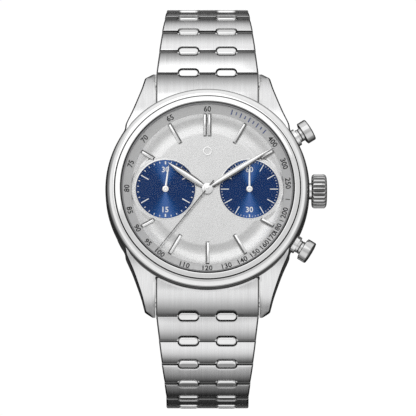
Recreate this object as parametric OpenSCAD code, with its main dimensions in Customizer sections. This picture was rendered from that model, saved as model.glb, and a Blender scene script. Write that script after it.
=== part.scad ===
// Chronograph wristwatch on a closed steel bracelet.
// Dial faces +Z, 12 o'clock is +Y, the crown is on +X.
// The origin is the centre of the case back's outer face.

/* [Case] */
// Outer diameter of the case middle
case_d = 39.4; // [38.6:0.2:39.8]
// Distance between the lugs
lug_w = 20.1; // [20.0:0.1:20.4]
// Height of the crown and pusher axes above the case back
crown_z = 6.0; // [5.9:0.1:6.1]
// Outer diameter of the bezel
bezel_d = 38.8; // [38.2:0.2:39.0]

/* [Controls] */
// Crown diameter
crown_d = 6.64; // [6.2:0.1:7.0]
// Angle of each pusher from 3 o'clock
pusher_a = 31.5; // [30:0.5:33]
// Pusher cap diameter
cap_d = 4.4; // [4.0:0.1:4.6]

/* [Bracelet] */
// Distance between two neighbouring link pins
pitch = 4.76; // [4.7:0.02:4.8]
// Link width at the clasp
end_w = 16.0; // [15.6:0.2:16.4]
// Width lost from one link to the next
taper = 1.05; // [1.0:0.05:1.1]
// Radius of the polished bead between two links
bead_r = 0.825; // [0.80:0.01:0.83]

/* [Dial] */
// Distance of each counter from the dial centre
sub_x = 8.1; // [7.9:0.1:8.2]
// Radius of each counter
sub_r = 5.8; // [5.6:0.1:5.8]

/* [Hidden] */
$fn = 96;

case_r = case_d / 2;
bezel_r = bezel_d / 2;
dial_z = 8.6;
steel = [0.80, 0.81, 0.82];
satin = [0.70, 0.71, 0.72];
blue = [0.16, 0.24, 0.48];

// slope of each link below the horizontal, from the case to the clasp, on the 6 and the 12 side
head = [8, 20, 34, 49, 64, 80, 96, 112, 128, 144, 160, 173];
head_12 = [8, 17, 29, 45.5, 63.5, 81.5, 99.5, 115.5, 128.5, 141, 154.5, 170];
// depth of the pin under the outer face, and link thickness under the pin
up = 0.85;
down = 1.75;
gap = 0.10;
pin_r = 0.40;
knuckle_r = 0.62;
recess_r = 0.72;
bead_x = 3.68;
bead_half = 2.0;

function link_w(k) = max(end_w, 19.8 - taper * (k - 1));
function pin_y(k, h = head) = k <= 1 ? 23.69 : pin_y(k - 1, h) + pitch * cos(h[k - 1]);
function pin_z(k, h = head) = k <= 1 ? 1.975 : pin_z(k - 1, h) - pitch * sin(h[k - 1]);

module x_cyl(r, x0, x1, f = 48) { translate([x0, 0, 0]) rotate([0, 90, 0]) cylinder(r = r, h = x1 - x0, $fn = f); }
module both() { children(); mirror([1, 0, 0]) children(); }
// h is the list of slopes of that side
module at_pin(k, h, a) { translate([0, pin_y(k, h), pin_z(k, h)]) rotate([-a, 0, 0]) children(); }

// pocket for one bead, open to the outer face
module bead_pocket() {
    r = bead_r + 0.10;
    a = bead_half - bead_r;
    both() translate([bead_x, 0, 0]) {
        x_cyl(r, -a, a);
        for (s = [-1, 1]) translate([s * a, 0, 0]) sphere(r = r, $fn = 48);
        linear_extrude(2) union() {
            square([2 * a, 2 * r], center = true);
            for (s = [-1, 1]) translate([s * a, 0]) circle(r = r, $fn = 48);
        }
    }
}
// two polished beads threaded on the pin
module beads() {
    a = bead_half - bead_r;
    both() translate([bead_x, 0, 0]) difference() {
        union() {
            x_cyl(bead_r, -a, a);
            for (s = [-1, 1]) translate([s * a, 0, 0]) sphere(r = bead_r, $fn = 48);
        }
        x_cyl(pin_r + 0.03, -3, 3);
    }
}
// what every end that carries the far pin has: a centre tongue and outer recesses
module far_end_cut() {
    both() x_cyl(recess_r, 5.80, 12);
    bead_pocket();
}
module far_tongue() { x_cyl(knuckle_r, -1.42, 1.42); }
module near_end_cut() {
    x_cyl(recess_r, -1.55, 1.55);
    bead_pocket();
}
module near_knuckles(w) { both() x_cyl(knuckle_r, 5.92, w / 2 - 0.02); }

module link_block(w1, w2) {
    c = 0.05 + down * tan(9.6);
    e = 0.12;
    a = atan((w1 - w2) / 2 / pitch);
    difference() {
        intersection() {
            rotate([90, 0, 90]) linear_extrude(w1 + 2, center = true)
                polygon([[gap / 2, 0], [gap / 2, up - e], [gap / 2 + e, up + 0.2], [pitch - gap / 2 - e, up + 0.2],
                    [pitch - gap / 2, up - e], [pitch - gap / 2, 0], [pitch - c, -down], [c, -down]]);
            translate([0, 0, -3]) linear_extrude(6)
                polygon([[-w1 / 2, 0], [w1 / 2, 0], [w2 / 2, pitch], [-w2 / 2, pitch]]);
            translate([0, 1.4, 0.98 - 15]) rotate([0, 90, 0]) cylinder(r = 15, h = 30, center = true, $fn = 240);
        }
        both() translate([w1 / 2, 0, up]) rotate([0, 0, a]) rotate([0, 45, 0]) cube([0.5, 40, 0.5], center = true);
        both() translate([w1 / 2, 0, -down]) rotate([0, 0, a]) rotate([0, 45, 0]) cube([0.6, 40, 0.6], center = true);
    }
}
module link_shape(k) {
    w1 = link_w(k);
    w2 = link_w(k + 1);
    difference() {
        union() {
            difference() {
                link_block(w1, w2);
                near_end_cut();
                translate([0, pitch, 0]) far_end_cut();
            }
            near_knuckles(w1);
            translate([0, pitch, 0]) far_tongue();
        }
        x_cyl(pin_r + 0.01, -12, 12);
        translate([0, pitch, 0]) x_cyl(pin_r + 0.04, -6, 6);
    }
    // pin and beads
    x_cyl(pin_r, -w1 / 2 + 0.1, w1 / 2 - 0.1);
    beads();
}
module link_12(k) { color(satin) at_pin(k, head_12, head_12[k]) link_shape(k); }
module link_6(k) { color(satin) mirror([0, 1, 0]) at_pin(k, head, head[k]) link_shape(k); }

// ---------------- case ----------------
module lug_plan() {
    polygon([[lug_w / 2, 12], [lug_w / 2, 23.95], [10.7, 23.85], [12.1, 23.0], [12.35, 22.0], [12.7, 20.6],
        [13.6, 18.0], [14.6, 15.4], [15.75, 13.1], [17.2, 10.2], [14, 8]]);
}
module lug() {
    intersection() {
        linear_extrude(9.0) lug_plan();
        rotate([90, 0, 90]) linear_extrude(20) polygon([[6, 1.6], [14, 1.4], [20, 0.5], [22.9, 0.3], [23.6, 0.5], [25, 1.4], [25, 9], [6, 9]]);
        translate([0, 9.47, -7.83]) x_cyl(17, 8, 20, 240);
    }
}
module radial(a) { rotate([0, 0, a]) translate([0, 0, crown_z]) rotate([0, 90, 0]) children(); }

module mid_case() {
    color(steel) difference() {
        union() {
            rotate_extrude($fn = 240) polygon([[12, 1.3], [case_r - 1.5, 1.3], [case_r - 0.7, 1.9], [case_r - 0.2, 2.9], [case_r, 4.2],
                [case_r, 8.4], [case_r - 0.15, 8.9], [case_r - 0.45, 9.2], [12, 9.2]]);
            for (m = [0, 1]) mirror([0, m, 0]) both() lug();
        }
        // inside: movement space, dial seat and case back thread
        translate([0, 0, -1]) cylinder(r = 16.9, h = 3.5, $fn = 240);
        translate([0, 0, 2]) cylinder(r = 15.6, h = 6.1, $fn = 240);
        translate([0, 0, 8.0]) cylinder(r = 16.6, h = 3, $fn = 240);
        // crown and pusher tube seats
        radial(0) cylinder(r = 1.6, h = 30);
        for (s = [-1, 1]) radial(s * pusher_a) cylinder(r = 1.75, h = 30);
        // spring bar holes
        for (s = [-1, 1]) translate([0, s * 21.6, 2.4]) x_cyl(0.55, -11.3, 11.3);
        // room for the end links between the lugs
        for (s = [-1, 1]) translate([-lug_w / 2, s > 0 ? 19.68 : -29.68, -1]) cube([lug_w, 10, 12]);
    }
}
module bezel() {
    color(steel) rotate_extrude($fn = 240) polygon([[16.6, 9.21], [bezel_r - 0.2, 9.21], [bezel_r, 9.4], [bezel_r, 9.75],
        [bezel_r - 0.15, 10.0], [bezel_r - 0.6, 10.35], [bezel_r - 1.1, 10.58], [bezel_r - 1.5, 10.68], [bezel_r - 1.55, 10.78],
        [bezel_r - 2.1, 10.95], [bezel_r - 2.6, 11.0], [16.7, 10.98], [16.6, 10.9]]);
}
module crystal() {
    color([0.9, 0.95, 1.0, 0.35]) intersection() {
        translate([0, 0, 9.8]) cylinder(r = 16.3, h = 4, $fn = 240);
        difference() {
            translate([0, 0, 12.2 - 111]) sphere(r = 111, $fn = 360);
            translate([0, 0, 10.9 - 121]) sphere(r = 121, $fn = 360);
        }
    }
}
module crystal_gasket() {
    color([0.9, 0.9, 0.9]) translate([0, 0, 9.85]) difference() {
        cylinder(r = 16.59, h = 1.0, $fn = 240);
        translate([0, 0, -1]) cylinder(r = 16.31, h = 4, $fn = 240);
    }
}
module case_back() {
    color(steel) difference() {
        union() {
            cylinder(r = 17.6, h = 1.28, $fn = 240);
            cylinder(r = 16.85, h = 2.4, $fn = 240);
        }
        translate([0, 0, -1]) cylinder(r = 13.0, h = 5, $fn = 240);
        translate([0, 0, 0.5]) cylinder(r = 14.0, h = 5, $fn = 240);
        // six notches for the case wrench
        for (a = [0 : 60 : 300]) rotate([0, 0, a + 30]) translate([16.2, 0, -1]) cylinder(r = 0.8, h = 1.6);
    }
}
module case_back_glass() {
    color([0.9, 0.95, 1.0, 0.35]) union() {
        cylinder(r = 12.97, h = 1.0, $fn = 240);
        translate([0, 0, 0.52]) cylinder(r = 13.97, h = 1.1, $fn = 240);
    }
}
module case_back_gasket() {
    color([0.1, 0.1, 0.1]) translate([0, 0, 1.65]) difference() {
        cylinder(r = 13.97, h = 0.7, $fn = 120);
        translate([0, 0, -1]) cylinder(r = 13.2, h = 3, $fn = 120);
    }
}
module chapter_ring() {
    color([0.62, 0.63, 0.64]) rotate_extrude($fn = 240) polygon([[14.72, 8.62], [16.5, 8.62], [16.5, 9.7], [16.35, 9.72], [14.72, 9.02]]);
}
module dial() {
    color([0.85, 0.85, 0.86]) difference() {
        union() {
            translate([0, 0, 8.15]) cylinder(r = 16.5, h = 0.45, $fn = 240);
            // concave sloping ring round the flat centre
            rotate_extrude($fn = 240) polygon([[10.9, 8.5], [11.0, 8.62], [12.0, 8.66], [13.0, 8.74], [14.0, 8.87], [14.68, 8.98], [14.68, 8.5]]);
        }
        for (s = [-1, 1]) translate([s * sub_x, 0, 8.42]) cylinder(r = sub_r, h = 2, $fn = 120);
        cylinder(r = 0.80, h = 20, $fn = 48);
        for (s = [-1, 1]) translate([s * sub_x, 0, 0]) cylinder(r = 0.30, h = 20, $fn = 32);
    }
    // counter floors and rims
    color(blue) for (s = [-1, 1]) translate([s * sub_x, 0, 8.43]) difference() {
        cylinder(r = sub_r - 0.2, h = 0.06, $fn = 120);
        translate([0, 0, -1]) cylinder(r = 0.30, h = 3, $fn = 32);
    }
    color(steel) for (s = [-1, 1]) translate([s * sub_x, 0, 8.43]) difference() {
        cylinder(r = sub_r - 0.01, h = 0.29, $fn = 120);
        translate([0, 0, -1]) cylinder(r = sub_r - 0.18, h = 3, $fn = 120);
    }
}
// polished batons: angle from 12 o'clock, inner and outer radius, width
module baton(a, r0, r1, w) {
    rotate([0, 0, -a]) translate([-w / 2, r0, 0]) rotate([90, 0, 90]) linear_extrude(w)
        polygon([[0, 8.66 + (r0 > 11.5 ? 0.03 : 0)], [r1 - r0, 9.02], [r1 - r0, 9.16], [r1 - r0 - 0.1, 9.22], [0.1, 8.98], [0, 8.9]]);
}
module hour_markers() {
    color(steel) {
        for (s = [-1, 1]) translate([s * 0.43, 0, 0]) baton(0, 10.3, 14.6, 0.7);
        for (h = [1, 5, 6, 7, 11]) baton(30 * h, 10.3, 14.6, 0.75);
        for (h = [2, 4, 8, 10]) baton(30 * h, 14.05 - 2.2, 14.6, 0.75);
        // small plain applied emblem under 12
        translate([0, 7.4, 8.61]) difference() {
            cylinder(r = 0.9, h = 0.2, $fn = 48);
            translate([0, 0, -1]) cylinder(r = 0.6, h = 3, $fn = 48);
        }
    }
}
// ---------------- movement ----------------
module movement_ring() {
    color([0.75, 0.75, 0.7]) difference() {
        translate([0, 0, 2.6]) cylinder(r = 15.5, h = 5.4, $fn = 120);
        cylinder(r = 13.25, h = 20, $fn = 120);
        radial(0) cylinder(r = 0.9, h = 30);
        for (s = [-1, 1]) radial(s * pusher_a) cylinder(r = 1.5, h = 30);
    }
}
module main_plate() {
    color([0.83, 0.80, 0.70]) difference() {
        translate([0, 0, 5.2]) cylinder(r = 13.2, h = 2.85, $fn = 120);
        cylinder(r = 0.80, h = 20, $fn = 48);
        for (s = [-1, 1]) translate([s * sub_x, 0, 0]) cylinder(r = 0.30, h = 20, $fn = 32);
        radial(0) translate([0, 0, 8.6]) cylinder(r = 0.75, h = 30);
        // barrel and balance wells, open to the bridges
        translate([4.2, 6.6, 4]) cylinder(r = 5.4, h = 2.4);
        translate([-6.2, -5.6, 4]) cylinder(r = 4.7, h = 2.4);
        translate([4.2, 6.6, 4]) cylinder(r = 0.56, h = 3.4);
        translate([-6.2, -5.6, 4]) cylinder(r = 0.30, h = 3.4);
    }
}
module bridges() {
    color([0.78, 0.78, 0.76]) difference() {
        union() {
            // barrel and train bridge with the rotor post
            intersection() {
                translate([0, 0, 3.9]) cylinder(r = 13.1, h = 0.9, $fn = 120);
                translate([-20, -1.6, 0]) cube([40, 40, 10]);
            }
            // balance cock, held by the train bridge at one end only
            translate([-7.6, -5.6, 3.9]) cube([2.8, 5.0, 0.9]);
            translate([-6.2, -5.6, 3.9]) cylinder(r = 1.4, h = 0.9);
            // bridge feet
            translate([9.6, 1.2, 4.7]) cylinder(r = 1.2, h = 0.5);
            translate([-9.5, 4, 4.7]) cylinder(r = 1.6, h = 0.5);
            translate([-3, 10.2, 4.7]) cylinder(r = 1.2, h = 0.5);
            // rotor post
            translate([0, 0, 2.2]) cylinder(r = 1.1, h = 1.8);
        }
        translate([4.2, 6.6, 3]) cylinder(r = 0.56, h = 3);
        translate([-6.2, -5.6, 3]) cylinder(r = 0.30, h = 3);
    }
    // screws
    color([0.3, 0.35, 0.6]) for (p = [[9.6, 1.2], [-9.5, 4], [-3, 10.2]])
        translate([p[0], p[1], 3.72]) difference() {
            cylinder(r = 0.75, h = 0.17);
            translate([-1, -0.1, -0.1]) cube([2, 0.2, 0.18]);
        }
}
module barrel() {
    color([0.85, 0.72, 0.4]) translate([4.2, 6.6, 0]) {
        translate([0, 0, 4.9]) cylinder(r = 5.0, h = 1.35);
        translate([0, 0, 4.95]) difference() {
            cylinder(r = 5.25, h = 0.4);
            for (i = [0 : 59]) rotate([0, 0, i * 6]) translate([5.25, 0, -1]) cylinder(r = 0.09, h = 3, $fn = 16);
        }
        translate([0, 0, 4.0]) cylinder(r = 0.5, h = 3.2);
    }
}
module balance_wheel() {
    color([0.85, 0.72, 0.4]) translate([-6.2, -5.6, 0]) {
        translate([0, 0, 5.3]) difference() {
            cylinder(r = 4.4, h = 0.6);
            translate([0, 0, -1]) cylinder(r = 3.8, h = 3);
        }
        for (a = [0, 60, 120]) rotate([0, 0, a]) translate([-4.0, -0.25, 5.4]) cube([8.0, 0.5, 0.35]);
        translate([0, 0, 4.0]) cylinder(r = 0.24, h = 3.2, $fn = 32);
        translate([0, 0, 5.3]) cylinder(r = 0.7, h = 0.6);
    }
}
module rotor() {
    color([0.78, 0.78, 0.76]) {
        difference() {
            union() {
                translate([0, 0, 2.85]) intersection() {
                    cylinder(r = 12.9, h = 0.45, $fn = 120);
                    translate([-20, -20, 0]) cube([40, 20, 2]);
                }
                translate([0, 0, 2.5]) intersection() {
                    difference() {
                        cylinder(r = 12.95, h = 1.1, $fn = 120);
                        translate([0, 0, -1]) cylinder(r = 11.0, h = 4, $fn = 120);
                    }
                    translate([-20, -20, 0]) cube([40, 20, 2]);
                }
                translate([0, 0, 2.5]) cylinder(r = 2.6, h = 0.8);
            }
            cylinder(r = 1.15, h = 10);
            for (a = [200, 235, 270, 305, 340]) rotate([0, 0, a]) translate([7.2, 0, 0]) cylinder(r = 1.6, h = 10);
        }
    }
}
// ---------------- hands ----------------
module leaf(len, w, tail) {
    polygon(concat([for (i = [0 : 16]) let (t = i / 16) [(0.16 + (w / 2 - 0.16) * sin(180 * pow(t, 0.8))) * (1 - 0.55 * pow(t, 6)), 0.4 + (len - 0.4) * t]],
        [[0, len + 0.05]],
        [for (i = [16 : -1 : 0]) let (t = i / 16) [-(0.16 + (w / 2 - 0.16) * sin(180 * pow(t, 0.8))) * (1 - 0.55 * pow(t, 6)), 0.4 + (len - 0.4) * t]],
        [[-0.16, -tail], [0.16, -tail]]));
}
module pipe(ro, ri, z0, z1) {
    translate([0, 0, z0]) difference() {
        cylinder(r = ro, h = z1 - z0, $fn = 48);
        translate([0, 0, -1]) cylinder(r = ri, h = z1 - z0 + 2, $fn = 48);
    }
}
module hour_hand() {
    color(steel) {
        difference() {
            union() {
                translate([0, 0, 9.22]) linear_extrude(0.14) rotate([0, 0, 56.3]) leaf(9.2, 1.3, 0.6);
                translate([0, 0, 9.22]) cylinder(r = 1.05, h = 0.14, $fn = 48);
            }
            cylinder(r = 0.55, h = 20, $fn = 48);
        }
        pipe(0.74, 0.55, 7.0, 9.22);
    }
}
module minute_hand() {
    color(steel) {
        difference() {
            union() {
                translate([0, 0, 9.50]) linear_extrude(0.14) rotate([0, 0, -57.8]) leaf(14.9, 1.3, 0.8);
                translate([0, 0, 9.50]) cylinder(r = 0.95, h = 0.14, $fn = 48);
            }
            cylinder(r = 0.28, h = 20, $fn = 48);
        }
        pipe(0.50, 0.28, 6.6, 9.50);
    }
}
module chrono_hand() {
    color(steel) {
        translate([0, 0, 9.80]) linear_extrude(0.12) rotate([0, 0, -218.7])
            polygon([[-0.16, -1.9], [0.16, -1.9], [0.13, 8], [0.05, 15.9], [-0.05, 15.9], [-0.13, 8]]);
        translate([0, 0, 9.78]) cylinder(r = 0.62, h = 0.2, $fn = 48);
        translate([0, 0, 6.2]) cylinder(r = 0.24, h = 3.7, $fn = 48);
    }
}
module small_hand(a, len) {
    translate([0, 0, 8.72]) linear_extrude(0.10) rotate([0, 0, -a])
        polygon([[-0.26, -1.3], [0.26, -1.3], [0.22, 0], [0.09, len - 0.2], [0, len], [-0.09, len - 0.2], [-0.22, 0]]);
    translate([0, 0, 8.71]) cylinder(r = 0.62, h = 0.2, $fn = 48);
    translate([0, 0, 7.0]) cylinder(r = 0.24, h = 1.8, $fn = 32);
}
module seconds_hand() { color(steel) translate([sub_x, 0, 0]) small_hand(0, 5.0); }
module counter_hand() { color(steel) translate([-sub_x, 0, 0]) small_hand(7.5, 4.6); }

// ---------------- crown and pushers ----------------
module crown_tube() {
    color(steel) radial(0) difference() {
        translate([0, 0, 17.0]) cylinder(r = 1.59, h = 3.9);
        cylinder(r = 0.66, h = 40);
    }
}
module winding_stem() { color(steel) radial(0) translate([0, 0, 10.6]) cylinder(r = 0.6, h = 12.0); }
module crown() {
    color(steel) radial(0) difference() {
        translate([0, 0, 20.05]) rotate_extrude() polygon([[0, 0], [crown_d / 2 - 0.45, 0], [crown_d / 2, 0.35], [crown_d / 2, 2.6],
            [crown_d / 2 - 0.5, 2.95], [crown_d / 2 - 0.9, 3.05], [0, 3.05]]);
        // bore for the stem and the recess that covers the tube
        translate([0, 0, 19]) cylinder(r = 0.62, h = 3.61);
        translate([0, 0, 19]) cylinder(r = 1.75, h = 2.2);
        // flutes
        for (i = [0 : 23]) rotate([0, 0, i * 15]) translate([crown_d / 2 + 0.12, 0, 20.4]) cylinder(r = 0.34, h = 2.25, $fn = 24);
    }
}
module pusher_tubes() {
    color(steel) for (s = [-1, 1]) radial(s * pusher_a) difference() {
        translate([0, 0, 16.6]) cylinder(r = 1.74, h = 3.85);
        cylinder(r = 1.36, h = 40);
    }
}
module pusher(s) {
    color(steel) radial(s * pusher_a) {
        translate([0, 0, 15.9]) cylinder(r = 1.3, h = 5.7);
        translate([0, 0, 21.5]) rotate_extrude() polygon([[0, 0], [cap_d / 2 - 0.25, 0], [cap_d / 2, 0.25], [cap_d / 2, 1.5],
            [cap_d / 2 - 0.3, 1.8], [cap_d / 2 - 0.8, 1.9], [0, 1.9]]);
    }
}
module pusher_start() pusher(1);
module pusher_reset() pusher(-1);

// ---------------- bracelet ----------------
module spring_bars() {
    color(satin) for (s = [-1, 1]) translate([0, s * 21.6, 2.4]) union() {
        x_cyl(0.85, -9.6, 9.6);
        x_cyl(0.5, -11.0, 11.0);
    }
}
module end_link() {
    w = lug_w - 0.2;
    difference() {
        union() {
            difference() {
                rotate([90, 0, 90]) linear_extrude(w, center = true) polygon([[17.5, 6.4], [19.9, 5.7], [21.0, 5.1], [22.0, 4.4], [22.9, 3.6],
                    [23.5, 3.05], [23.757, 2.70], [23.655, 1.97], [23.11, 0.29], [20.8, 0.75], [17.5, 1.9]]);
                cylinder(r = case_r + 0.06, h = 20, $fn = 240);
                at_pin(1, head, head[0]) far_end_cut();
            }
            at_pin(1, head, head[0]) far_tongue();
        }
        at_pin(1, head, head[0]) x_cyl(pin_r + 0.04, -6, 6);
        translate([0, 21.6, 2.4]) x_cyl(0.88, -12, 12);
    }
}
module end_link_12() { color(satin) end_link(); }
module end_link_6() { color(satin) mirror([0, 1, 0]) end_link(); }
module link_12_01() link_12(1);
module link_12_02() link_12(2);
module link_12_03() link_12(3);
module link_12_04() link_12(4);
module link_12_05() link_12(5);
module link_12_06() link_12(6);
module link_12_07() link_12(7);
module link_12_08() link_12(8);
module link_12_09() link_12(9);
module link_12_10() link_12(10);
module link_12_11() {
    link_12(11);
    // the last link also carries the pin that closes the bracelet at the clasp
    color(steel) translate([0, pin_y(12, head_12), pin_z(12, head_12)]) { x_cyl(pin_r, -7.9, 7.9); beads(); }
}
module link_6_01() link_6(1);
module link_6_02() link_6(2);
module link_6_03() link_6(3);
module link_6_04() link_6(4);
module link_6_05() link_6(5);
module link_6_06() link_6(6);
module link_6_07() link_6(7);
module link_6_08() link_6(8);
module link_6_09() link_6(9);
module link_6_10() link_6(10);
module link_6_11() link_6(11);

// ---------------- clasp ----------------
// blade fold axis (near 12) and cover fold axis (near 6)
fold_y = 13.5;
fold_z = -31.6;
cover_y = -16.2;
cover_z = -32.3;
base_z = -34.3;

module clasp_inner_blade() {
    color(steel) difference() {
        union() {
            difference() {
                union() {
                    // plate and arms down to the last link's pin
                    translate([-6.6, -19.2, -31.0]) cube([13.2, 19.2 + fold_y, 0.8]);
                    both() translate([5.92, 0, 0]) rotate([90, 0, 90]) linear_extrude(0.68)
                        polygon([[-19.85, -33.35], [-19.2, -33.35], [-18.6, -31.9], [-18.2, -30.9], [-18.6, -30.2], [-19.2, -30.2], [-19.85, -31.6]]);
                }
                // room for the middle blade's knuckle
                translate([-2.95, fold_y - 1.1, -33]) cube([5.9, 5, 5]);
                // lightening slot
                translate([-2.2, -12, -32]) cube([4.4, 18, 3]);
            }
            // outer knuckles round the fold pin
            both() translate([0, fold_y, fold_z]) x_cyl(0.9, 2.95, 6.6);
            // knuckles round the last link's pin
            mirror([0, 1, 0]) translate([0, pin_y(12), pin_z(12)]) both() x_cyl(knuckle_r, 5.92, 7.9);
        }
        translate([0, fold_y, fold_z]) x_cyl(0.52, -12, 12);
        mirror([0, 1, 0]) translate([0, pin_y(12), pin_z(12)]) x_cyl(pin_r + 0.01, -12, 12);
    }
    color(steel) {
        translate([0, fold_y, fold_z]) x_cyl(0.5, -6.6, 6.6);
        mirror([0, 1, 0]) translate([0, pin_y(12), pin_z(12)]) { x_cyl(pin_r, -7.9, 7.9); beads(); }
    }
}
module clasp_middle_blade() {
    color(steel) {
        difference() {
            union() {
                difference() {
                    translate([-5.4, cover_y, -32.6]) cube([10.8, fold_y - cover_y, 0.8]);
                    both() translate([2.8, fold_y - 1.2, -34]) cube([5, 5, 5]);
                    translate([-1.9, -9, -34]) cube([3.8, 12, 3]);
                }
                translate([0, fold_y, fold_z]) x_cyl(0.9, -2.8, 2.8);
                translate([0, cover_y, cover_z]) x_cyl(0.8, -5.4, 5.4);
            }
            translate([0, fold_y, fold_z]) x_cyl(0.54, -12, 12);
            translate([0, cover_y, cover_z]) x_cyl(0.47, -12, 12);
        }
        translate([0, cover_y, cover_z]) x_cyl(0.45, -6.5, 6.5);
    }
}
module clasp_cover() {
    color(satin) difference() {
        union() {
            // outer shell: plate with two side walls
            translate([-end_w / 2, -18.4, base_z]) cube([end_w, 37.2, 1.0]);
            both() translate([end_w / 2 - 0.8, -18.0, base_z]) cube([0.8, 36.6, 3.3]);
            // ears round the cover fold pin
            both() translate([5.7, cover_y - 0.8, base_z + 0.5]) cube([0.8, 1.6, 1.7]);
            both() translate([0, cover_y, cover_z]) x_cyl(0.8, 5.7, 6.5);
            // catch that holds the blade when it is closed
            both() translate([3.2, 16.2, base_z + 0.5]) cube([2.4, 1.2, 2.2]);
        }
        translate([0, cover_y, cover_z]) x_cyl(0.49, -6.6, 6.6);
        translate([0, 10.5, -32.15]) x_cyl(0.90, -12, 12);
    }
}
module clasp_button(s) {
    color(steel) translate([0, 10.5, -32.15]) mirror([s > 0 ? 0 : 1, 0, 0]) {
        x_cyl(0.85, 6.4, 8.9);
        x_cyl(1.1, 6.3, 7.1);
    }
}
module clasp_button_left() clasp_button(-1);
module clasp_button_right() clasp_button(1);

// draw one node or all of them
mid_case();
bezel();
crystal();
crystal_gasket();
case_back();
case_back_glass();
case_back_gasket();
chapter_ring();
dial();
hour_markers();
movement_ring();
main_plate();
bridges();
crown_tube();
pusher_tubes();
spring_bars();
end_link_12();
end_link_6();
hour_hand();
minute_hand();
chrono_hand();
seconds_hand();
counter_hand();
winding_stem();
crown();
pusher_start();
pusher_reset();
barrel();
balance_wheel();
rotor();
link_12_01();
link_12_02();
link_12_03();
link_12_04();
link_12_05();
link_12_06();
link_12_07();
link_12_08();
link_12_09();
link_12_10();
link_12_11();
link_6_01();
link_6_02();
link_6_03();
link_6_04();
link_6_05();
link_6_06();
link_6_07();
link_6_08();
link_6_09();
link_6_10();
link_6_11();
clasp_inner_blade();
clasp_middle_blade();
clasp_cover();
clasp_button_left();
clasp_button_right();
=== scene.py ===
import math
import bpy
import bmesh
from mathutils import Matrix, Vector


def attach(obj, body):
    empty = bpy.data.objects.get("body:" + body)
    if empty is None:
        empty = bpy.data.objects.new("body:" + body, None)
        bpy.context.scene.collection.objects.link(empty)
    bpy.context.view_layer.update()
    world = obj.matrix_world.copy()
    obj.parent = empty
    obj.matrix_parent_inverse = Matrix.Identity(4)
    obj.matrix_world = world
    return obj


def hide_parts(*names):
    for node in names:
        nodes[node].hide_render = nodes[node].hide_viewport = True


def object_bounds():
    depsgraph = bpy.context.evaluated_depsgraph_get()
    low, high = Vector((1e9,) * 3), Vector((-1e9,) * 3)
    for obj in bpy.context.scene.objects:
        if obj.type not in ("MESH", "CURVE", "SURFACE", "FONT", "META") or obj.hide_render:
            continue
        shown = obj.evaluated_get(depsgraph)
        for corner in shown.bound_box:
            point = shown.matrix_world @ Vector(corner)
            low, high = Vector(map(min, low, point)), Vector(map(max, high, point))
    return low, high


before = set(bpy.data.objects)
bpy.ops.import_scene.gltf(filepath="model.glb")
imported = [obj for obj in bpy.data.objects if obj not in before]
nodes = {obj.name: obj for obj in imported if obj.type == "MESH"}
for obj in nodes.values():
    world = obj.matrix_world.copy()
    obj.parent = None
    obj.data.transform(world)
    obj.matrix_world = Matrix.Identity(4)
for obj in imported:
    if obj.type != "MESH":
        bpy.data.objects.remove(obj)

CAD_BOX = [list(v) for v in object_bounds()]
MM = 0.001
PI = math.pi

# ------------------------------------------------------------------ materials


def new_mat(name):
    m = bpy.data.materials.new(name)
    m.use_nodes = True
    nt = m.node_tree
    for n in list(nt.nodes):
        if n.type not in ("OUTPUT_MATERIAL", "BSDF_PRINCIPLED"):
            nt.nodes.remove(n)
    bsdf = next(n for n in nt.nodes if n.type == "BSDF_PRINCIPLED")
    return m, nt, bsdf


def coords(nt, scale, rot=(0, 0, 0), kind="Object"):
    tc = nt.nodes.new("ShaderNodeTexCoord")
    mp = nt.nodes.new("ShaderNodeMapping")
    mp.inputs["Scale"].default_value = scale
    mp.inputs["Rotation"].default_value = rot
    nt.links.new(tc.outputs[kind], mp.inputs["Vector"])
    return mp.outputs["Vector"]


def noise(nt, vec, scale=1.0, detail=4.0, rough=0.6, dist=0.0):
    n = nt.nodes.new("ShaderNodeTexNoise")
    n.inputs["Scale"].default_value = scale
    n.inputs["Detail"].default_value = detail
    n.inputs["Roughness"].default_value = rough
    n.inputs["Distortion"].default_value = dist
    nt.links.new(vec, n.inputs["Vector"])
    return n.outputs["Fac"]


def ramp(nt, fac, stops):
    r = nt.nodes.new("ShaderNodeValToRGB")
    el = r.color_ramp.elements
    while len(el) < len(stops):
        el.new(0.5)
    for e, (p, c) in zip(el, stops):
        e.position = p
        e.color = (c, c, c, 1) if not isinstance(c, tuple) else (*c, 1)
    nt.links.new(fac, r.inputs["Fac"])
    return r.outputs["Color"]


def mapped(nt, fac, lo, hi, a=0.0, b=1.0):
    r = nt.nodes.new("ShaderNodeMapRange")
    r.inputs["From Min"].default_value = a
    r.inputs["From Max"].default_value = b
    r.inputs["To Min"].default_value = lo
    r.inputs["To Max"].default_value = hi
    nt.links.new(fac, r.inputs["Value"])
    return r.outputs["Result"]


def bump(nt, bsdf, height, strength, dist):
    b = nt.nodes.new("ShaderNodeBump")
    b.inputs["Strength"].default_value = strength
    b.inputs["Distance"].default_value = dist
    nt.links.new(height, b.inputs["Height"])
    nt.links.new(b.outputs["Normal"], bsdf.inputs["Normal"])


def steel_polished(name, c=0.86, rough=0.07, tint=(1.0, 1.0, 1.0)):
    m, nt, b = new_mat(name)
    v = coords(nt, (900, 900, 900))
    f = noise(nt, v, 1.0, 3.0, 0.6)
    col = ramp(nt, f, [(0.3, tuple(c * 0.97 * t for t in tint)), (0.7, tuple(min(1, c * 1.02) * t for t in tint))])
    nt.links.new(col, b.inputs["Base Color"])
    b.inputs["Metallic"].default_value = 1.0
    nt.links.new(mapped(nt, f, rough * 0.7, rough * 1.35), b.inputs["Roughness"])
    bump(nt, b, f, 0.05, 0.00002)
    return m


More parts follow.
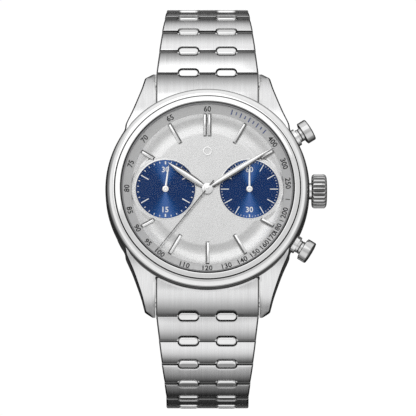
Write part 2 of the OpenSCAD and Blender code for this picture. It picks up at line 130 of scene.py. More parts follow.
def steel_brushed(name, scale, c0=0.66, c1=0.86, r0=0.22, r1=0.36, depth=0.25, shade=None):
    """Grain runs along the axis with the small number in scale. shade gives (millimetres along Y, brightness) pairs: a
    painted shade that darkens the colour along the part's own Y.
    """
    m, nt, b = new_mat(name)
    v = coords(nt, scale)
    f = noise(nt, v, 1.0, 5.0, 0.65)
    f2 = noise(nt, coords(nt, tuple(s * 0.22 for s in scale)), 1.0, 3.0, 0.6)
    mix = nt.nodes.new("ShaderNodeMath")
    mix.operation = "ADD"
    nt.links.new(mapped(nt, f, 0.0, 0.6), mix.inputs[0])
    nt.links.new(mapped(nt, f2, 0.0, 0.4), mix.inputs[1])
    col = ramp(nt, mix.outputs[0], [(0.3, (c0, c0, c0 * 1.005)), (0.7, (c1, c1, c1 * 1.005))])
    # painted shade: the colour is multiplied by a ramp along the object's local Y
    if shade:
        tc = nt.nodes.new("ShaderNodeTexCoord")
        sp = nt.nodes.new("ShaderNodeSeparateXYZ")
        nt.links.new(tc.outputs["Object"], sp.inputs[0])
        lo, hi = shade[0][0], shade[-1][0]
        sh = ramp(nt, mapped(nt, sp.outputs["Y"], 0.0, 1.0, lo * MM, hi * MM), [((p - lo) / (hi - lo), v) for p, v in shade])
        mu = nt.nodes.new("ShaderNodeMix")
        mu.data_type = "RGBA"
        mu.blend_type = "MULTIPLY"
        mu.inputs[0].default_value = 1.0
        nt.links.new(col, mu.inputs[6])
        nt.links.new(sh, mu.inputs[7])
        col = mu.outputs[2]
    nt.links.new(col, b.inputs["Base Color"])
    b.inputs["Metallic"].default_value = 1.0
    nt.links.new(mapped(nt, mix.outputs[0], r0, r1, 0.3, 0.7), b.inputs["Roughness"])
    bump(nt, b, mix.outputs[0], depth, 0.00003)
    return m


def satin(name, c0, c1, rough, metal, grain=9000, depth=0.2, spec=0.5):
    m, nt, b = new_mat(name)
    f = noise(nt, coords(nt, (grain, grain, grain)), 1.0, 3.0, 0.7)
    f2 = noise(nt, coords(nt, (260, 260, 260)), 1.0, 3.0, 0.6)
    mix = nt.nodes.new("ShaderNodeMath")
    mix.operation = "ADD"
    nt.links.new(mapped(nt, f, 0.0, 0.75), mix.inputs[0])
    nt.links.new(mapped(nt, f2, 0.0, 0.25), mix.inputs[1])
    nt.links.new(ramp(nt, mix.outputs[0], [(0.3, c0), (0.7, c1)]), b.inputs["Base Color"])
    b.inputs["Metallic"].default_value = metal
    b.inputs["Specular IOR Level"].default_value = spec
    nt.links.new(mapped(nt, mix.outputs[0], rough * 0.85, rough * 1.15, 0.3, 0.7), b.inputs["Roughness"])
    bump(nt, b, mix.outputs[0], depth, 0.00003)
    return m


M_POL = steel_polished("steel_polished")
M_POL2 = steel_polished("steel_polished_soft", 0.84, 0.13)
# Links and end links: brushed steel with a painted shade that darkens each piece towards its far end.
M_LINK = steel_brushed("link_painted_shade_brushed", (9000, 160, 160), 0.72, 0.92, 0.2, 0.32, 0.22, [(0.0, 1.0), (1.3, 1.0), (2.3, 0.84), (3.3, 0.58), (4.1, 0.36), (4.76, 0.20)])
M_END = steel_brushed("end_link_brushed", (9000, 160, 160), 0.72, 0.92, 0.2, 0.32, 0.22, [(-8.0, 0.9), (-4.8, 1.0), (-3.5, 0.88), (-2.2, 0.62), (-1.0, 0.38), (0.0, 0.22)])
# Near-black polished steel on bevels, seams, end walls and the case shoulder: painted shade and painted dark
# reflection, not a darker metal.
M_SHADE_EDGE = steel_polished("edge_painted_shade", 0.10, 0.2)
# Mid-dark polished steel on the walls and edges of the bracelet's bead pockets: painted shade in the recesses.
M_SHADE_POCKET = steel_polished("pocket_painted_shade", 0.50, 0.25)
# Dark polished steel on facets turned from the light, crown flutes, pusher grooves, knuckles and far bevels: painted
# shade.
M_SHADE_FACET = steel_polished("facet_painted_shade", 0.16, 0.2)
# Half-dark polished steel on the shaded sides of the hour and minute hands: painted shade.
M_HALF_SHADE = steel_polished("facet_painted_half_shade", 0.50, 0.2)
M_BTN = steel_polished("button_polished", 0.66, 0.15)
M_LUG = steel_brushed("lug_brushed", (7000, 200, 200), 0.70, 0.88, 0.16, 0.26, 0.15)
M_CLASP = steel_brushed("clasp_brushed", (9000, 160, 160), 0.62, 0.80, 0.26, 0.4)
M_DIAL = satin("dial_opaline", (0.63, 0.63, 0.63), (0.80, 0.80, 0.80), 0.27, 0.94, 3600, 0.38)
M_RING = satin("scale_ring_satin", (0.50, 0.50, 0.50), (0.59, 0.59, 0.59), 0.34, 0.75, 8000, 0.2)
M_INK = satin("ink_black", (0.006, 0.006, 0.008), (0.014, 0.014, 0.016), 0.5, 0.0, 6000, 0.1, 0.2)
M_INKB = satin("ink_blue", (0.02, 0.05, 0.20), (0.035, 0.075, 0.26), 0.4, 0.0, 6000, 0.1)
M_WHITE = satin("ink_white", (0.80, 0.81, 0.82), (0.92, 0.93, 0.94), 0.4, 0.0, 6000, 0.1)
M_GASKET = satin("gasket_nylon", (0.16, 0.16, 0.165), (0.24, 0.24, 0.245), 0.4, 0.0, 5000, 0.1)
M_RUBBER = satin("rubber_black", (0.015, 0.015, 0.016), (0.04, 0.04, 0.042), 0.55, 0.0, 4000, 0.3)
M_GILT = satin("movement_gilt", (0.62, 0.47, 0.20), (0.78, 0.62, 0.30), 0.30, 1.0, 5000, 0.15)
M_HAND = steel_polished("hand_polished", 0.90, 0.16)
M_THIN = steel_polished("hand_thin", 0.15, 0.22)


def rhodium():
    m, nt, b = new_mat("movement_rhodium")
    v = coords(nt, (1, 1, 1), (0, 0, 0.5))
    w = nt.nodes.new("ShaderNodeTexWave")
    w.inputs["Scale"].default_value = 260
    w.inputs["Distortion"].default_value = 0.2
    nt.links.new(v, w.inputs["Vector"])
    nt.links.new(ramp(nt, w.outputs["Fac"], [(0.2, (0.58, 0.58, 0.57)), (0.8, (0.78, 0.78, 0.76))]), b.inputs["Base Color"])
    b.inputs["Metallic"].default_value = 1.0
    nt.links.new(mapped(nt, w.outputs["Fac"], 0.2, 0.34), b.inputs["Roughness"])
    bump(nt, b, w.outputs["Fac"], 0.15, 0.00004)
    return m


M_RHOD = rhodium()


def blue_sunburst():
    """Radial brushing on blue lacquer: fine streaks round the centre, plus a painted highlight: two light wedges along
    the 12-6 line painted into the colour.
    """
    m, nt, b = new_mat("blue_sunburst")
    tc = nt.nodes.new("ShaderNodeTexCoord")
    sep = nt.nodes.new("ShaderNodeSeparateXYZ")
    nt.links.new(tc.outputs["Object"], sep.inputs[0])
    at = nt.nodes.new("ShaderNodeMath")
    at.operation = "ARCTAN2"
    nt.links.new(sep.outputs["X"], at.inputs[0])
    nt.links.new(sep.outputs["Y"], at.inputs[1])
    comb = nt.nodes.new("ShaderNodeCombineXYZ")
    nt.links.new(at.outputs[0], comb.inputs["X"])
    streak = noise(nt, comb.outputs[0], 60.0, 4.0, 0.7)
    # painted highlight: |cos(angle)| raised to a power lightens the colour in two wedges along the dial's 12-6 line
    cs = nt.nodes.new("ShaderNodeMath")
    cs.operation = "COSINE"
    nt.links.new(at.outputs[0], cs.inputs[0])
    ab = nt.nodes.new("ShaderNodeMath")
    ab.operation = "ABSOLUTE"
    nt.links.new(cs.outputs[0], ab.inputs[0])
    pw = nt.nodes.new("ShaderNodeMath")
    pw.operation = "POWER"
    pw.inputs[1].default_value = 14.0
    nt.links.new(ab.outputs[0], pw.inputs[0])
    add = nt.nodes.new("ShaderNodeMath")
    add.operation = "MULTIPLY_ADD"
    nt.links.new(mapped(nt, streak, 0.75, 1.25, 0.3, 0.7), add.inputs[0])
    nt.links.new(pw.outputs[0], add.inputs[1])
    nt.links.new(mapped(nt, streak, 0.0, 0.10, 0.3, 0.7), add.inputs[2])
    col = ramp(nt, add.outputs[0], [(0.0, (0.003, 0.024, 0.11)), (0.35, (0.006, 0.058, 0.22)), (1.0, (0.055, 0.135, 0.38))])
    nt.links.new(col, b.inputs["Base Color"])
    b.inputs["Metallic"].default_value = 0.5
    nt.links.new(mapped(nt, streak, 0.26, 0.36), b.inputs["Roughness"])
    b.inputs["Specular IOR Level"].default_value = 0.2
    bump(nt, b, streak, 0.1, 0.00002)
    return m


M_BLUE = blue_sunburst()


def sapphire(name, power=0.35):
    m, nt, b = new_mat(name)
    nt.nodes.remove(b)
    out = next(n for n in nt.nodes if n.type == "OUTPUT_MATERIAL")
    tr = nt.nodes.new("ShaderNodeBsdfTransparent")
    tr.inputs["Color"].default_value = (0.99, 0.99, 0.99, 1)
    gl = nt.nodes.new("ShaderNodeBsdfGlossy")
    gl.inputs["Roughness"].default_value = 0.02
    gl.inputs["Color"].default_value = (1, 1, 1, 1)
    fr = nt.nodes.new("ShaderNodeFresnel")
    fr.inputs["IOR"].default_value = 1.45
    f = noise(nt, coords(nt, (120, 120, 120)), 1.0, 2.0, 0.5)
    mul = nt.nodes.new("ShaderNodeMath")
    mul.operation = "MULTIPLY"
    nt.links.new(fr.outputs[0], mul.inputs[0])
    nt.links.new(mapped(nt, f, power * 0.95, power * 1.05), mul.inputs[1])
    mx = nt.nodes.new("ShaderNodeMixShader")
    nt.links.new(mul.outputs[0], mx.inputs[0])
    nt.links.new(tr.outputs[0], mx.inputs[1])
    nt.links.new(gl.outputs[0], mx.inputs[2])
    nt.links.new(mx.outputs[0], out.inputs["Surface"])
    return m


M_GLASS = sapphire("sapphire", 0.14)

# ------------------------------------------------------------------ mesh helpers


def build(name, bm, mats, body, smooth=32.0, bevel=0.0, segs=2, bevel_angle=30.0, matrix=None, bevel_filter=None):
    """Finishes a bmesh given in millimetres and makes it ride on a body."""
    if bevel > 0:
        lim = math.radians(bevel_angle)
        es = [e for e in bm.edges if len(e.link_faces) == 2 and e.calc_face_angle(0.0) > lim and (bevel_filter is None or bevel_filter(e))]
        if es:
            bmesh.ops.bevel(bm, geom=es, offset=bevel, offset_type="OFFSET", segments=segs, profile=0.5, affect="EDGES", clamp_overlap=True)
    bmesh.ops.recalc_face_normals(bm, faces=bm.faces[:])
    lim = math.radians(smooth)
    for f in bm.faces:
        f.smooth = True
    for e in bm.edges:
        if len(e.link_faces) == 2:
            e.smooth = e.calc_face_angle(0.0) <= lim
    me = bpy.data.meshes.new(name)
    bmesh.ops.scale(bm, vec=(MM, MM, MM), verts=bm.verts[:])
    bm.to_mesh(me)
    bm.free()
    for m in mats:
        me.materials.append(m)
    o = bpy.data.objects.new(name, me)
    bpy.context.scene.collection.objects.link(o)
    if matrix is not None:
        o.matrix_world = matrix
        bpy.context.view_layer.update()
    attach(o, body)
    return o


def lathe_bm(profile, n=192, closed=True, bm=None, axis_matrix=None, mat=0):
    """Turns a profile of (radius, height) round Z. A point with radius 0 becomes a pole."""
    bm = bm or bmesh.new()
    rings = []
    for r, z in profile:
        if r <= 1e-6:
            rings.append([bm.verts.new((0, 0, z))])
        else:
            rings.append([bm.verts.new((r * math.cos(2 * PI * i / n), r * math.sin(2 * PI * i / n), z)) for i in range(n)])
    pairs = list(zip(rings, rings[1:]))
    if closed:
        pairs.append((rings[-1], rings[0]))
    fs = []
    for a, b in pairs:
        if len(a) == 1 and len(b) == 1:
            continue
        for i in range(n):
            j = (i + 1) % n
            if len(a) == 1:
                fs.append(bm.faces.new((a[0], b[j], b[i])))
            elif len(b) == 1:
                fs.append(bm.faces.new((a[i], a[j], b[0])))
            else:
                fs.append(bm.faces.new((a[i], a[j], b[j], b[i])))
    for f in fs:
        f.material_index = mat
    if axis_matrix is not None:
        vs = [v for ring in rings for v in ring]
        bmesh.ops.transform(bm, matrix=axis_matrix, verts=vs)
    return bm


def rounded(profile, rad, steps=4, closed=True):
    """Rounds each corner of a profile with a small arc."""
    out = []
    n = len(profile)
    for i, p in enumerate(profile):
        if not closed and i in (0, n - 1):
            out.append(p)
            continue
        a = Vector(profile[i - 1])
        c = Vector(profile[(i + 1) % n])
        b = Vector(p)
        u = (a - b)
        w = (c - b)
        lu, lw = u.length, w.length
        if lu < 1e-9 or lw < 1e-9:
            out.append(p)
            continue
        u /= lu
        w /= lw
        d = max(-1.0, min(1.0, u.dot(w)))
        turn = PI - math.acos(d)
        if turn < math.radians(12):
            out.append(p)
            continue
        cut = min(rad * math.tan(turn / 2), lu * 0.45, lw * 0.45)
        p0 = b + u * cut
        p2 = b + w * cut
        for k in range(steps + 1):
            t = k / steps
            q = (1 - t) ** 2 * p0 + 2 * t * (1 - t) * b + t * t * p2
            out.append((q.x, q.y))
    return out


def prism_bm(outline, z0, z1, bm=None, mat=0):
    """Straight prism on a closed outline of (x, y)."""
    bm = bm or bmesh.new()
    lo = [bm.verts.new((x, y, z0)) for x, y in outline]
    hi = [bm.verts.new((x, y, z1)) for x, y in outline]
    fs = [bm.faces.new(hi), bm.faces.new(lo[::-1])]
    n = len(outline)
    for i in range(n):
        j = (i + 1) % n
        fs.append(bm.faces.new((lo[i], lo[j], hi[j], hi[i])))
    for f in fs:
        f.material_index = mat
    return bm


def interp(xs, ys, x):
    if x <= xs[0]:
        return ys[0]
    for a, b, p, q in zip(xs, xs[1:], ys, ys[1:]):
        if x <= b:
            t = (x - a) / (b - a)
            return p + (q - p) * t
    return ys[-1]


def smooth_interp(xs, ys, x):
    """Catmull-Rom through the given points."""
    n = len(xs)
    if x <= xs[0]:
        return ys[0]
    if x >= xs[-1]:
        return ys[-1]
    i = next(k for k in range(n - 1) if x <= xs[k + 1])

    def slope(k):
        if k == 0:
            return (ys[1] - ys[0]) / (xs[1] - xs[0])
        if k == n - 1:
            return (ys[-1] - ys[-2]) / (xs[-1] - xs[-2])
        return (ys[k + 1] - ys[k - 1]) / (xs[k + 1] - xs[k - 1])
    h = xs[i + 1] - xs[i]
    t = (x - xs[i]) / h
    a, b = slope(i) * h, slope(i + 1) * h
    return (2 * t ** 3 - 3 * t ** 2 + 1) * ys[i] + (t ** 3 - 2 * t ** 2 + t) * a + (-2 * t ** 3 + 3 * t ** 2) * ys[i + 1] + (t ** 3 - t ** 2) * b


HEAD = "watch_head"
RC = 19.7
CZ = 6.0

# ------------------------------------------------------------------ case middle with lugs
case_prof = rounded([(16.62, 1.3), (RC - 1.5, 1.3), (RC - 0.7, 1.9), (RC - 0.2, 2.9), (RC, 4.2), (RC, 8.3), (RC - 0.12, 8.85), (RC - 0.5, 9.2), (16.62, 9.2)], 0.25)
bm = lathe_bm(case_prof, 256)
# The outer top edge of the case takes the near-black edge steel (material 2): painted shade along the shoulder.
for f in bm.faces:
    c = f.calc_center_median()
    if math.hypot(c.x, c.y) > RC - 0.55 and c.z > 8.5:
        f.material_index = 2
ly = [8.0, 10.2, 11.6, 12.5, 13.1, 15.4, 18.0, 20.6, 22.8, 23.0, 23.85, 23.95]
lx = [17.9, 16.82, 16.0, 15.85, 15.65, 14.6, 13.6, 12.7, 12.14, 12.0, 10.75, 10.5]
XI = 10.05


def lug_top(y):
    return -7.83 + math.sqrt(max(0.01, 17 * 17 - (y - 9.47) ** 2)) if y > 9.47 else 9.17


def lug_bottom(y):
    return interp([6, 14, 20, 22.9, 23.6, 23.95], [1.6, 1.4, 0.5, 0.3, 0.5, 0.9], y)


def lug_bm(bm, sx, sy):
    ys = [9.0 + i * 0.35 for i in range(40)] + [22.9, 23.1, 23.3, 23.5, 23.65, 23.78, 23.88, 23.95]
    ys = [y for y in ys if y <= 23.951]
    rings = []
    for y in ys:
        xo = smooth_interp(ly, lx, y) if y < 20 else interp(ly, lx, y)
        zt = min(8.95, lug_top(y))
        zb = lug_bottom(y)
        zt = max(zt, zb + 0.25)
        ch = min(0.30, (xo - XI) * 0.25)          # polished outer bevel, in the near-black edge steel: painted shade
        ci = min(0.42, (xo - XI) * 0.25)          # polished inner bevel
        cb = min(0.25, (zt - zb) * 0.3)
        sec = [(XI, zb + cb), (XI, zt - ci * 0.55), (XI + ci, zt), (XI + (xo - ch - XI) * 0.5, zt + 0.03), (xo - ch, zt - 0.02), (xo, zt - ch * 1.15), (xo + 0.0, zb + cb), (xo - cb, zb), (XI + cb, zb)]
        rings.append([bm.verts.new((sx * x, sy * y, min(z, 7.9) if math.hypot(x, y) < 17.2 else z)) for x, z in sec])
    n = len(rings[0])
    for a, b in zip(rings, rings[1:]):
        for i in range(n):
            j = (i + 1) % n
            f = bm.faces.new((a[i], a[j], b[j], b[i]))
            # brushed top, outer bevel in the near-black edge steel (painted shade), polished elsewhere
            f.material_index = 1 if i in (2, 3) else (2 if i == 4 else 0)
    bm.faces.new(rings[-1])
    bm.faces.new(rings[0][::-1])


for sx in (-1, 1):
    for sy in (-1, 1):
        lug_bm(bm, sx, sy)
case = build("case_middle", bm, [M_POL2, M_LUG, M_SHADE_EDGE], HEAD, smooth=24)
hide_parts("mid_case")

# ------------------------------------------------------------------ bezel
BR = 19.4
bez = [(16.6, 9.21), (BR - 0.2, 9.21), (BR, 9.36), (BR, 9.60), (BR - 0.07, 9.80), (BR - 0.24, 10.02), (BR - 0.52, 10.24), (BR - 0.9, 10.42), (BR - 1.2, 10.51), (BR - 1.35, 10.524), (BR - 1.42, 10.53),
       (BR - 1.60, 10.84), (BR - 1.70, 10.89), (BR - 2.1, 10.95), (BR - 2.45, 10.98), (16.86, 10.96), (16.6, 10.72)]
bm = lathe_bm(rounded(bez, 0.05, 3), 256)
# The outer edge and the ridge step take the near-black edge steel, and the top of the opening the dark facet steel:
# painted shade and the painted shadow of the rehaut.
for f in bm.faces:
    c = f.calc_center_median()
    r_ = math.hypot(c.x, c.y)
    if BR - 1.64 < r_ < BR - 1.37 or r_ > BR - 0.10:
        f.material_index = 2
    elif r_ < 16.80 and c.z > 10.6:
        f.material_index = 1
bezel = build("bezel_ring", bm, [M_POL, M_SHADE_FACET, M_SHADE_EDGE], HEAD, smooth=22)
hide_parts("bezel")

# ------------------------------------------------------------------ crystal and gasket


def dome(r, apex, rad):
    return apex - rad + math.sqrt(rad * rad - r * r)


cr = [(16.3 * i / 18, dome(16.3 * i / 18, 12.2, 111)) for i in range(19)]
cr[-1] = (16.15, dome(16.15, 12.2, 111))
cr.append((16.3, cr[-1][1] - 0.15))
cr.append((16.3, 9.82))
cr += [(16.25 * (18 - i) / 18, dome(16.25 * (18 - i) / 18, 10.9, 121)) for i in range(19)]
crystal = build("crystal_dome", lathe_bm(cr, 160, closed=False), [M_GLASS], HEAD, smooth=30)
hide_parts("crystal")
gas = build("gasket_ring", lathe_bm(rounded([(16.32, 9.86), (16.58, 9.86), (16.58, 10.84), (16.32, 10.84)], 0.06), 192), [M_GASKET], HEAD)
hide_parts("crystal_gasket")

# ------------------------------------------------------------------ chapter ring with its numbers
RZ = [(14.74, 9.00), (16.5, 9.70)]
RSL = math.atan2(RZ[1][1] - RZ[0][1], RZ[1][0] - RZ[0][0])


def ring_z(r):
    return RZ[0][1] + (r - RZ[0][0]) * math.tan(RSL)


ch = build("scale_ring", lathe_bm(rounded([(14.72, 8.64), (16.5, 8.64), (16.5, ring_z(16.5)), (14.72, ring_z(14.72))], 0.05), 256), [M_RING], HEAD, smooth=25)
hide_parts("chapter_ring")


def text_bm(body, height, squeeze=1.0):
    cu = bpy.data.curves.new("t", "FONT")
    cu.body = body
    cu.size = 1.0
    cu.align_x = "CENTER"
    cu.align_y = "CENTER"
    cu.resolution_u = 3
    cu.extrude = 0.0
    cu.space_character = 1.02
    cu.offset = 0.018
    o = bpy.data.objects.new("t", cu)
    bpy.context.scene.collection.objects.link(o)
    bpy.context.view_layer.update()
    me = bpy.data.meshes.new_from_object(o.evaluated_get(bpy.context.evaluated_depsgraph_get()))
    bpy.data.objects.remove(o)
    bpy.data.curves.remove(cu)
    bm = bmesh.new()
    bm.from_mesh(me)
    bpy.data.meshes.remove(me)
    xs = [v.co.x for v in bm.verts]
    ys = [v.co.y for v in bm.verts]
    cx, cy = (min(xs) + max(xs)) / 2, (min(ys) + max(ys)) / 2
    s = height / (max(ys) - min(ys))
    for v in bm.verts:
        v.co = Vector(((v.co.x - cx) * s * squeeze, (v.co.y - cy) * s, 0))
    return bm


def add_bm(dst, src, matrix):
    bmesh.ops.transform(src, matrix=matrix, verts=src.verts[:])
    me = bpy.data.meshes.new("tmp")
    src.to_mesh(me)
    src.free()
    dst.from_mesh(me)
    bpy.data.meshes.remove(me)


def on_ring(a_deg, r, flip=False, lift=0.012):
    """Frame on the ring's slope at a clock angle: x along the ring, y outward, z out of it."""
    a = math.radians(a_deg)
    rad = Vector((math.sin(a), math.cos(a), 0))
    tan = Vector((math.cos(a), -math.sin(a), 0))
    out = (rad * math.cos(RSL) + Vector((0, 0, 1)) * math.sin(RSL)).normalized()
    nrm = tan.cross(out).normalized()
    if flip:
        tan, out = -tan, -out
    p = rad * r + Vector((0, 0, ring_z(r))) + nrm * lift
    return Matrix(((tan.x, out.x, nrm.x, p.x), (tan.y, out.y, nrm.y, p.y), (tan.z, out.z, nrm.z, p.z), (0, 0, 0, 1)))


def thicken(bm, h):
    """Gives flat print a little body so that it has a top and sides."""
    r = bmesh.ops.extrude_face_region(bm, geom=bm.faces[:])
    vs = [g for g in r["geom"] if isinstance(g, bmesh.types.BMVert)]
    bmesh.ops.translate(bm, vec=(0, 0, h), verts=vs)


bmk = bmesh.new()
for num in (60, 65, 70, 75, 80, 85, 90, 95, 100, 110, 120, 130, 140, 150, 160, 170, 180, 200, 250, 300, 400):
    ang = 360.0 * 60.0 / num
    flip = 90 < (ang % 360) < 262
    t = text_bm(str(num), 1.12, 0.95)
    thicken(t, 0.012)
    add_bm(bmk, t, on_ring(ang, 15.56, flip))
for ang in (98.0, 114.0):
    t = bmesh.new()
    prism_bm([(-0.075, -0.45), (0.075, -0.45), (0.075, 0.45), (-0.075, 0.45)], 0, 0.012, t)
    add_bm(bmk, t, on_ring(ang, 15.6))
nums = build("scale_numbers", bmk, [M_INK], HEAD, smooth=30)
bmk = bmesh.new()
for i in range(9):
    ang = 17.5 + i * 3.4
    t = bmesh.new()
    hh = 0.5 if i % 2 == 0 else 0.32
    prism_bm([(-0.10, -hh), (0.10, -hh), (0.10, hh), (-0.10, hh)], 0, 0.012, t)
    add_bm(bmk, t, on_ring(ang, 15.62))
build("scale_blue_marks", bmk, [M_INKB], HEAD, smooth=30)

# ------------------------------------------------------------------ dial
SX = 8.1
SR = 5.8


def dial_z(x, y):
    r = math.hypot(x, y)
    zr = smooth_interp([10.9, 11.1, 11.6, 12.3, 13.1, 13.9, 14.4, 14.75], [8.60, 8.588, 8.50, 8.42, 8.44, 8.60, 8.78, 8.96], r) if r > 10.9 else 8.60
    d = min(math.hypot(x - SX, y), math.hypot(x + SX, y))
    t = max(0.0, min(1.0, (d - 6.45) / 0.28))
    t = t * t * (3 - 2 * t)
    return 8.60 * (1 - t) + zr * t


bm = bmesh.new()
NA = 480
rr = [0.8, 1.0, 1.6, 2.3]
while rr[-1] < 10.6:
    rr.append(rr[-1] + 0.28)
rr = [r for r in rr if r < 10.6] + [10.65 + 0.17 * i for i in range(24)]
rr = [r for r in rr if r < 14.7] + [14.74]
grid = []
for r in rr:
    ring = []
    for i in range(NA):
        a = 2 * PI * i / NA
        x, y = r * math.cos(a), r * math.sin(a)
        for sx in (-SX, SX):
            d = math.hypot(x - sx, y)
            if SR - 0.14 < d < SR + 0.16:
                k = SR / d
                x, y = sx + (x - sx) * k, y * k
        ring.append(bm.verts.new((x, y, dial_z(x, y))))
    grid.append(ring)
for a, b in zip(grid, grid[1:]):
    for i in range(NA):
        j = (i + 1) % NA
        q = (a[i], a[j], b[j], b[i])
        if any(min(math.hypot(v.co.x - SX, v.co.y), math.hypot(v.co.x + SX, v.co.y)) < SR - 0.05 for v in q):
            continue
        bm.faces.new(q)
lone = [v for v in bm.verts if not v.link_faces]
bmesh.ops.delete(bm, geom=lone, context="VERTS")
# rim of the plate and its underside
lathe_bm([(14.74, 8.96), (14.76, 8.62), (16.45, 8.60), (16.45, 8.17), (0.8, 8.17), (0.8, 8.60)], 160, closed=False, bm=bm)
dial = build("dial_plate", bm, [M_DIAL], HEAD, smooth=40)
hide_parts("dial")

for sx, nm in ((-SX, "left"), (SX, "right")):
    rim = rounded([(SR - 0.10, 8.44), (SR + 0.14, 8.44), (SR + 0.14, 8.665), (SR + 0.02, 8.69), (SR - 0.10, 8.60)], 0.03, 3)
    mtx = Matrix.Translation((sx * MM, 0, 0))
    build("counter_rim_" + nm, lathe_bm(rim, 160), [M_HAND], HEAD, smooth=40, matrix=mtx)
    disc = [(0.30, 8.455), (1.2, 8.455), (3.0, 8.455), (4.6, 8.455), (5.55, 8.455), (5.74, 8.47), (5.78, 8.50), (5.78, 8.38), (0.30, 8.38)]
    build("counter_floor_" + nm, lathe_bm(disc, 160), [M_BLUE], HEAD, smooth=40, matrix=mtx)

TZ = 8.462


def clock_bar(bm, cx, a_deg, r0, r1, w0, w1=None, z=TZ, h=0.012):
    w1 = w0 if w1 is None else w1
    t = bmesh.new()
    prism_bm([(-w0 / 2, r0), (w0 / 2, r0), (w1 / 2, r1), (-w1 / 2, r1)], 0, h, t)
    add_bm(bm, t, Matrix.Translation((cx, 0, z)) @ Matrix.Rotation(-math.radians(a_deg), 4, "Z"))


bmk = bmesh.new()
for i in range(30):
    a = i * 12
    if a in (60, 120, 240, 300):
        clock_bar(bmk, -SX, a, 3.75, 5.42, 0.20)
    elif a in (0, 180):
        clock_bar(bmk, -SX, a, 4.85, 5.45, 0.26)
    else:
        clock_bar(bmk, -SX, a, 5.15, 5.48, 0.15)
for i in range(60):
    a = i * 6
    if a in (0, 180):
        clock_bar(bmk, SX, a, 4.95, 5.5, 0.22)
    elif a % 30 == 0:
        clock_bar(bmk, SX, a, 3.95, 5.55, 0.17)
    else:
        clock_bar(bmk, SX, a, 5.27, 5.44, 0.13)
for body_, cx, y in (("30", -SX, 3.85), ("15", -SX, -4.0), ("60", SX, 3.85), ("30", SX, -4.0)):
    t = text_bm(body_, 1.08, 1.0)
    thicken(t, 0.012)
    add_bm(bmk, t, Matrix.Translation((cx, y, TZ)))
build("counter_print", bmk, [M_WHITE], HEAD, smooth=30)

# ------------------------------------------------------------------ applied batons and emblem


def baton(bm, a_deg, r0, r1, w, dx=0.0):
    """Long faceted baton whose top follows the rise of the dial's ring."""
    t = bmesh.new()
    sec = []
    for r in (r0, r0 + 0.22, r1 - 0.12, r1):
        k = (r - r0) / (r1 - r0)
        zt = 8.98 + 0.24 * k
        end = r in (r0, r1)
        hw = w / 2
        zz = zt - (0.16 if r == r0 else (0.10 if end else 0.0))
        sec.append([t.verts.new((dx + x, r, z)) for x, z in ((-hw, 8.46), (-hw, zz - 0.09), (-hw * 0.6, zz), (hw * 0.2, zz), (hw, zz - 0.14), (hw, 8.46))])
    n = 6
    for q, (a, b) in enumerate(zip(sec, sec[1:])):
        for i in range(n):
            j = (i + 1) % n
            f = t.faces.new((a[i], a[j], b[j], b[i]))
            # The facets on one side, the low first segment and the end caps take the dark facet steel: painted shade on
            # the side turned from the light.
            f.material_index = 1 if i in (0, 3, 4) or q == 0 else 0
    t.faces.new(sec[0][::-1]).material_index = 1
    t.faces.new(sec[-1]).material_index = 1
    add_bm(bm, t, Matrix.Rotation(-math.radians(a_deg), 4, "Z"))


bmk = bmesh.new()
for s in (-1, 1):
    baton(bmk, 0, 10.3, 14.6, 0.70, s * 0.43)
for h in (1, 5, 6, 7, 11):
    baton(bmk, 30 * h, 10.3, 14.6, 0.75)
for h in (2, 4, 8, 10):
    baton(bmk, 30 * h, 11.85, 14.6, 0.75)
em = rounded([(0.60, 8.60), (0.90, 8.60), (0.90, 8.80), (0.60, 8.80)], 0.06)
lathe_bm(em, 64, bm=bmk, axis_matrix=Matrix.Translation((0, 7.4, 0)))
mk = build("applied_markers", bmk, [M_POL, M_SHADE_FACET], HEAD, smooth=25, bevel=0.02, segs=1)
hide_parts("hour_markers")

# ------------------------------------------------------------------ hands


def leaf_hand(name, body, node, a_deg, length, width, tail, z, hub_r, hole_r, pipe_r, pipe_z):
    bm = bmesh.new()
    N = 48
    rows = []
    for i in range(N + 1):
        t = i / N
        y = -tail + (length + tail) * t
        if y < 0.4:
            hw = 0.16 + 0.10 * max(0, (y + tail)) / (tail + 0.4)
            hw = 0.2
        else:
            s = (y - 0.4) / (length - 0.4)
            hw = (0.2 + (width / 2 - 0.2) * math.sin(PI * s ** 0.8) ** 0.9 if 0 < s < 1 else 0.2) * (1 - 0.93 * s ** 7)
        hw = max(hw, 0.02)
        ridge = min(0.13, hw * 0.28)
        rows.append([bm.verts.new(p) for p in ((-hw, y, z), (-hw, y, z + 0.06), (-hw * 0.5, y, z + 0.06 + ridge * 0.7), (0, y, z + 0.06 + ridge), (hw * 0.5, y, z + 0.06 + ridge * 0.7), (hw, y, z + 0.06), (hw, y, z))])
    for a, b in zip(rows, rows[1:]):
        for i in range(7):
            j = (i + 1) % 7
            # The outer facets and walls take the half-dark steel on one side and the dark facet steel on the other, the
            # middle facets stay bright: painted shade.
            bm.faces.new((a[i], a[j], b[j], b[i])).material_index = (2, 2, 0, 0, 1, 1, 1)[i]
    bm.faces.new(rows[0][::-1])
    bm.faces.new(rows[-1])
    bmesh.ops.transform(bm, matrix=Matrix.Rotation(-math.radians(a_deg), 4, "Z"), verts=bm.verts[:])
    lathe_bm(rounded([(hole_r, z), (hub_r, z), (hub_r, z + 0.15), (hole_r, z + 0.18)], 0.03), 64, bm=bm)
    lathe_bm([(hole_r, pipe_z), (pipe_r, pipe_z), (pipe_r, z + 0.01), (hole_r, z + 0.01)], 48, bm=bm)
    o = build(name, bm, [M_HAND, M_SHADE_FACET, M_HALF_SHADE], body, smooth=30)
    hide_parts(node)


leaf_hand("hand_hour", "hour_hand", "hour_hand", 303.7, 9.2, 1.28, 0.6, 9.20, 1.05, 0.56, 0.74, 7.0)
leaf_hand("hand_minute", "minute_hand", "minute_hand", 57.8, 14.9, 1.16, 0.8, 9.47, 0.95, 0.30, 0.50, 6.6)

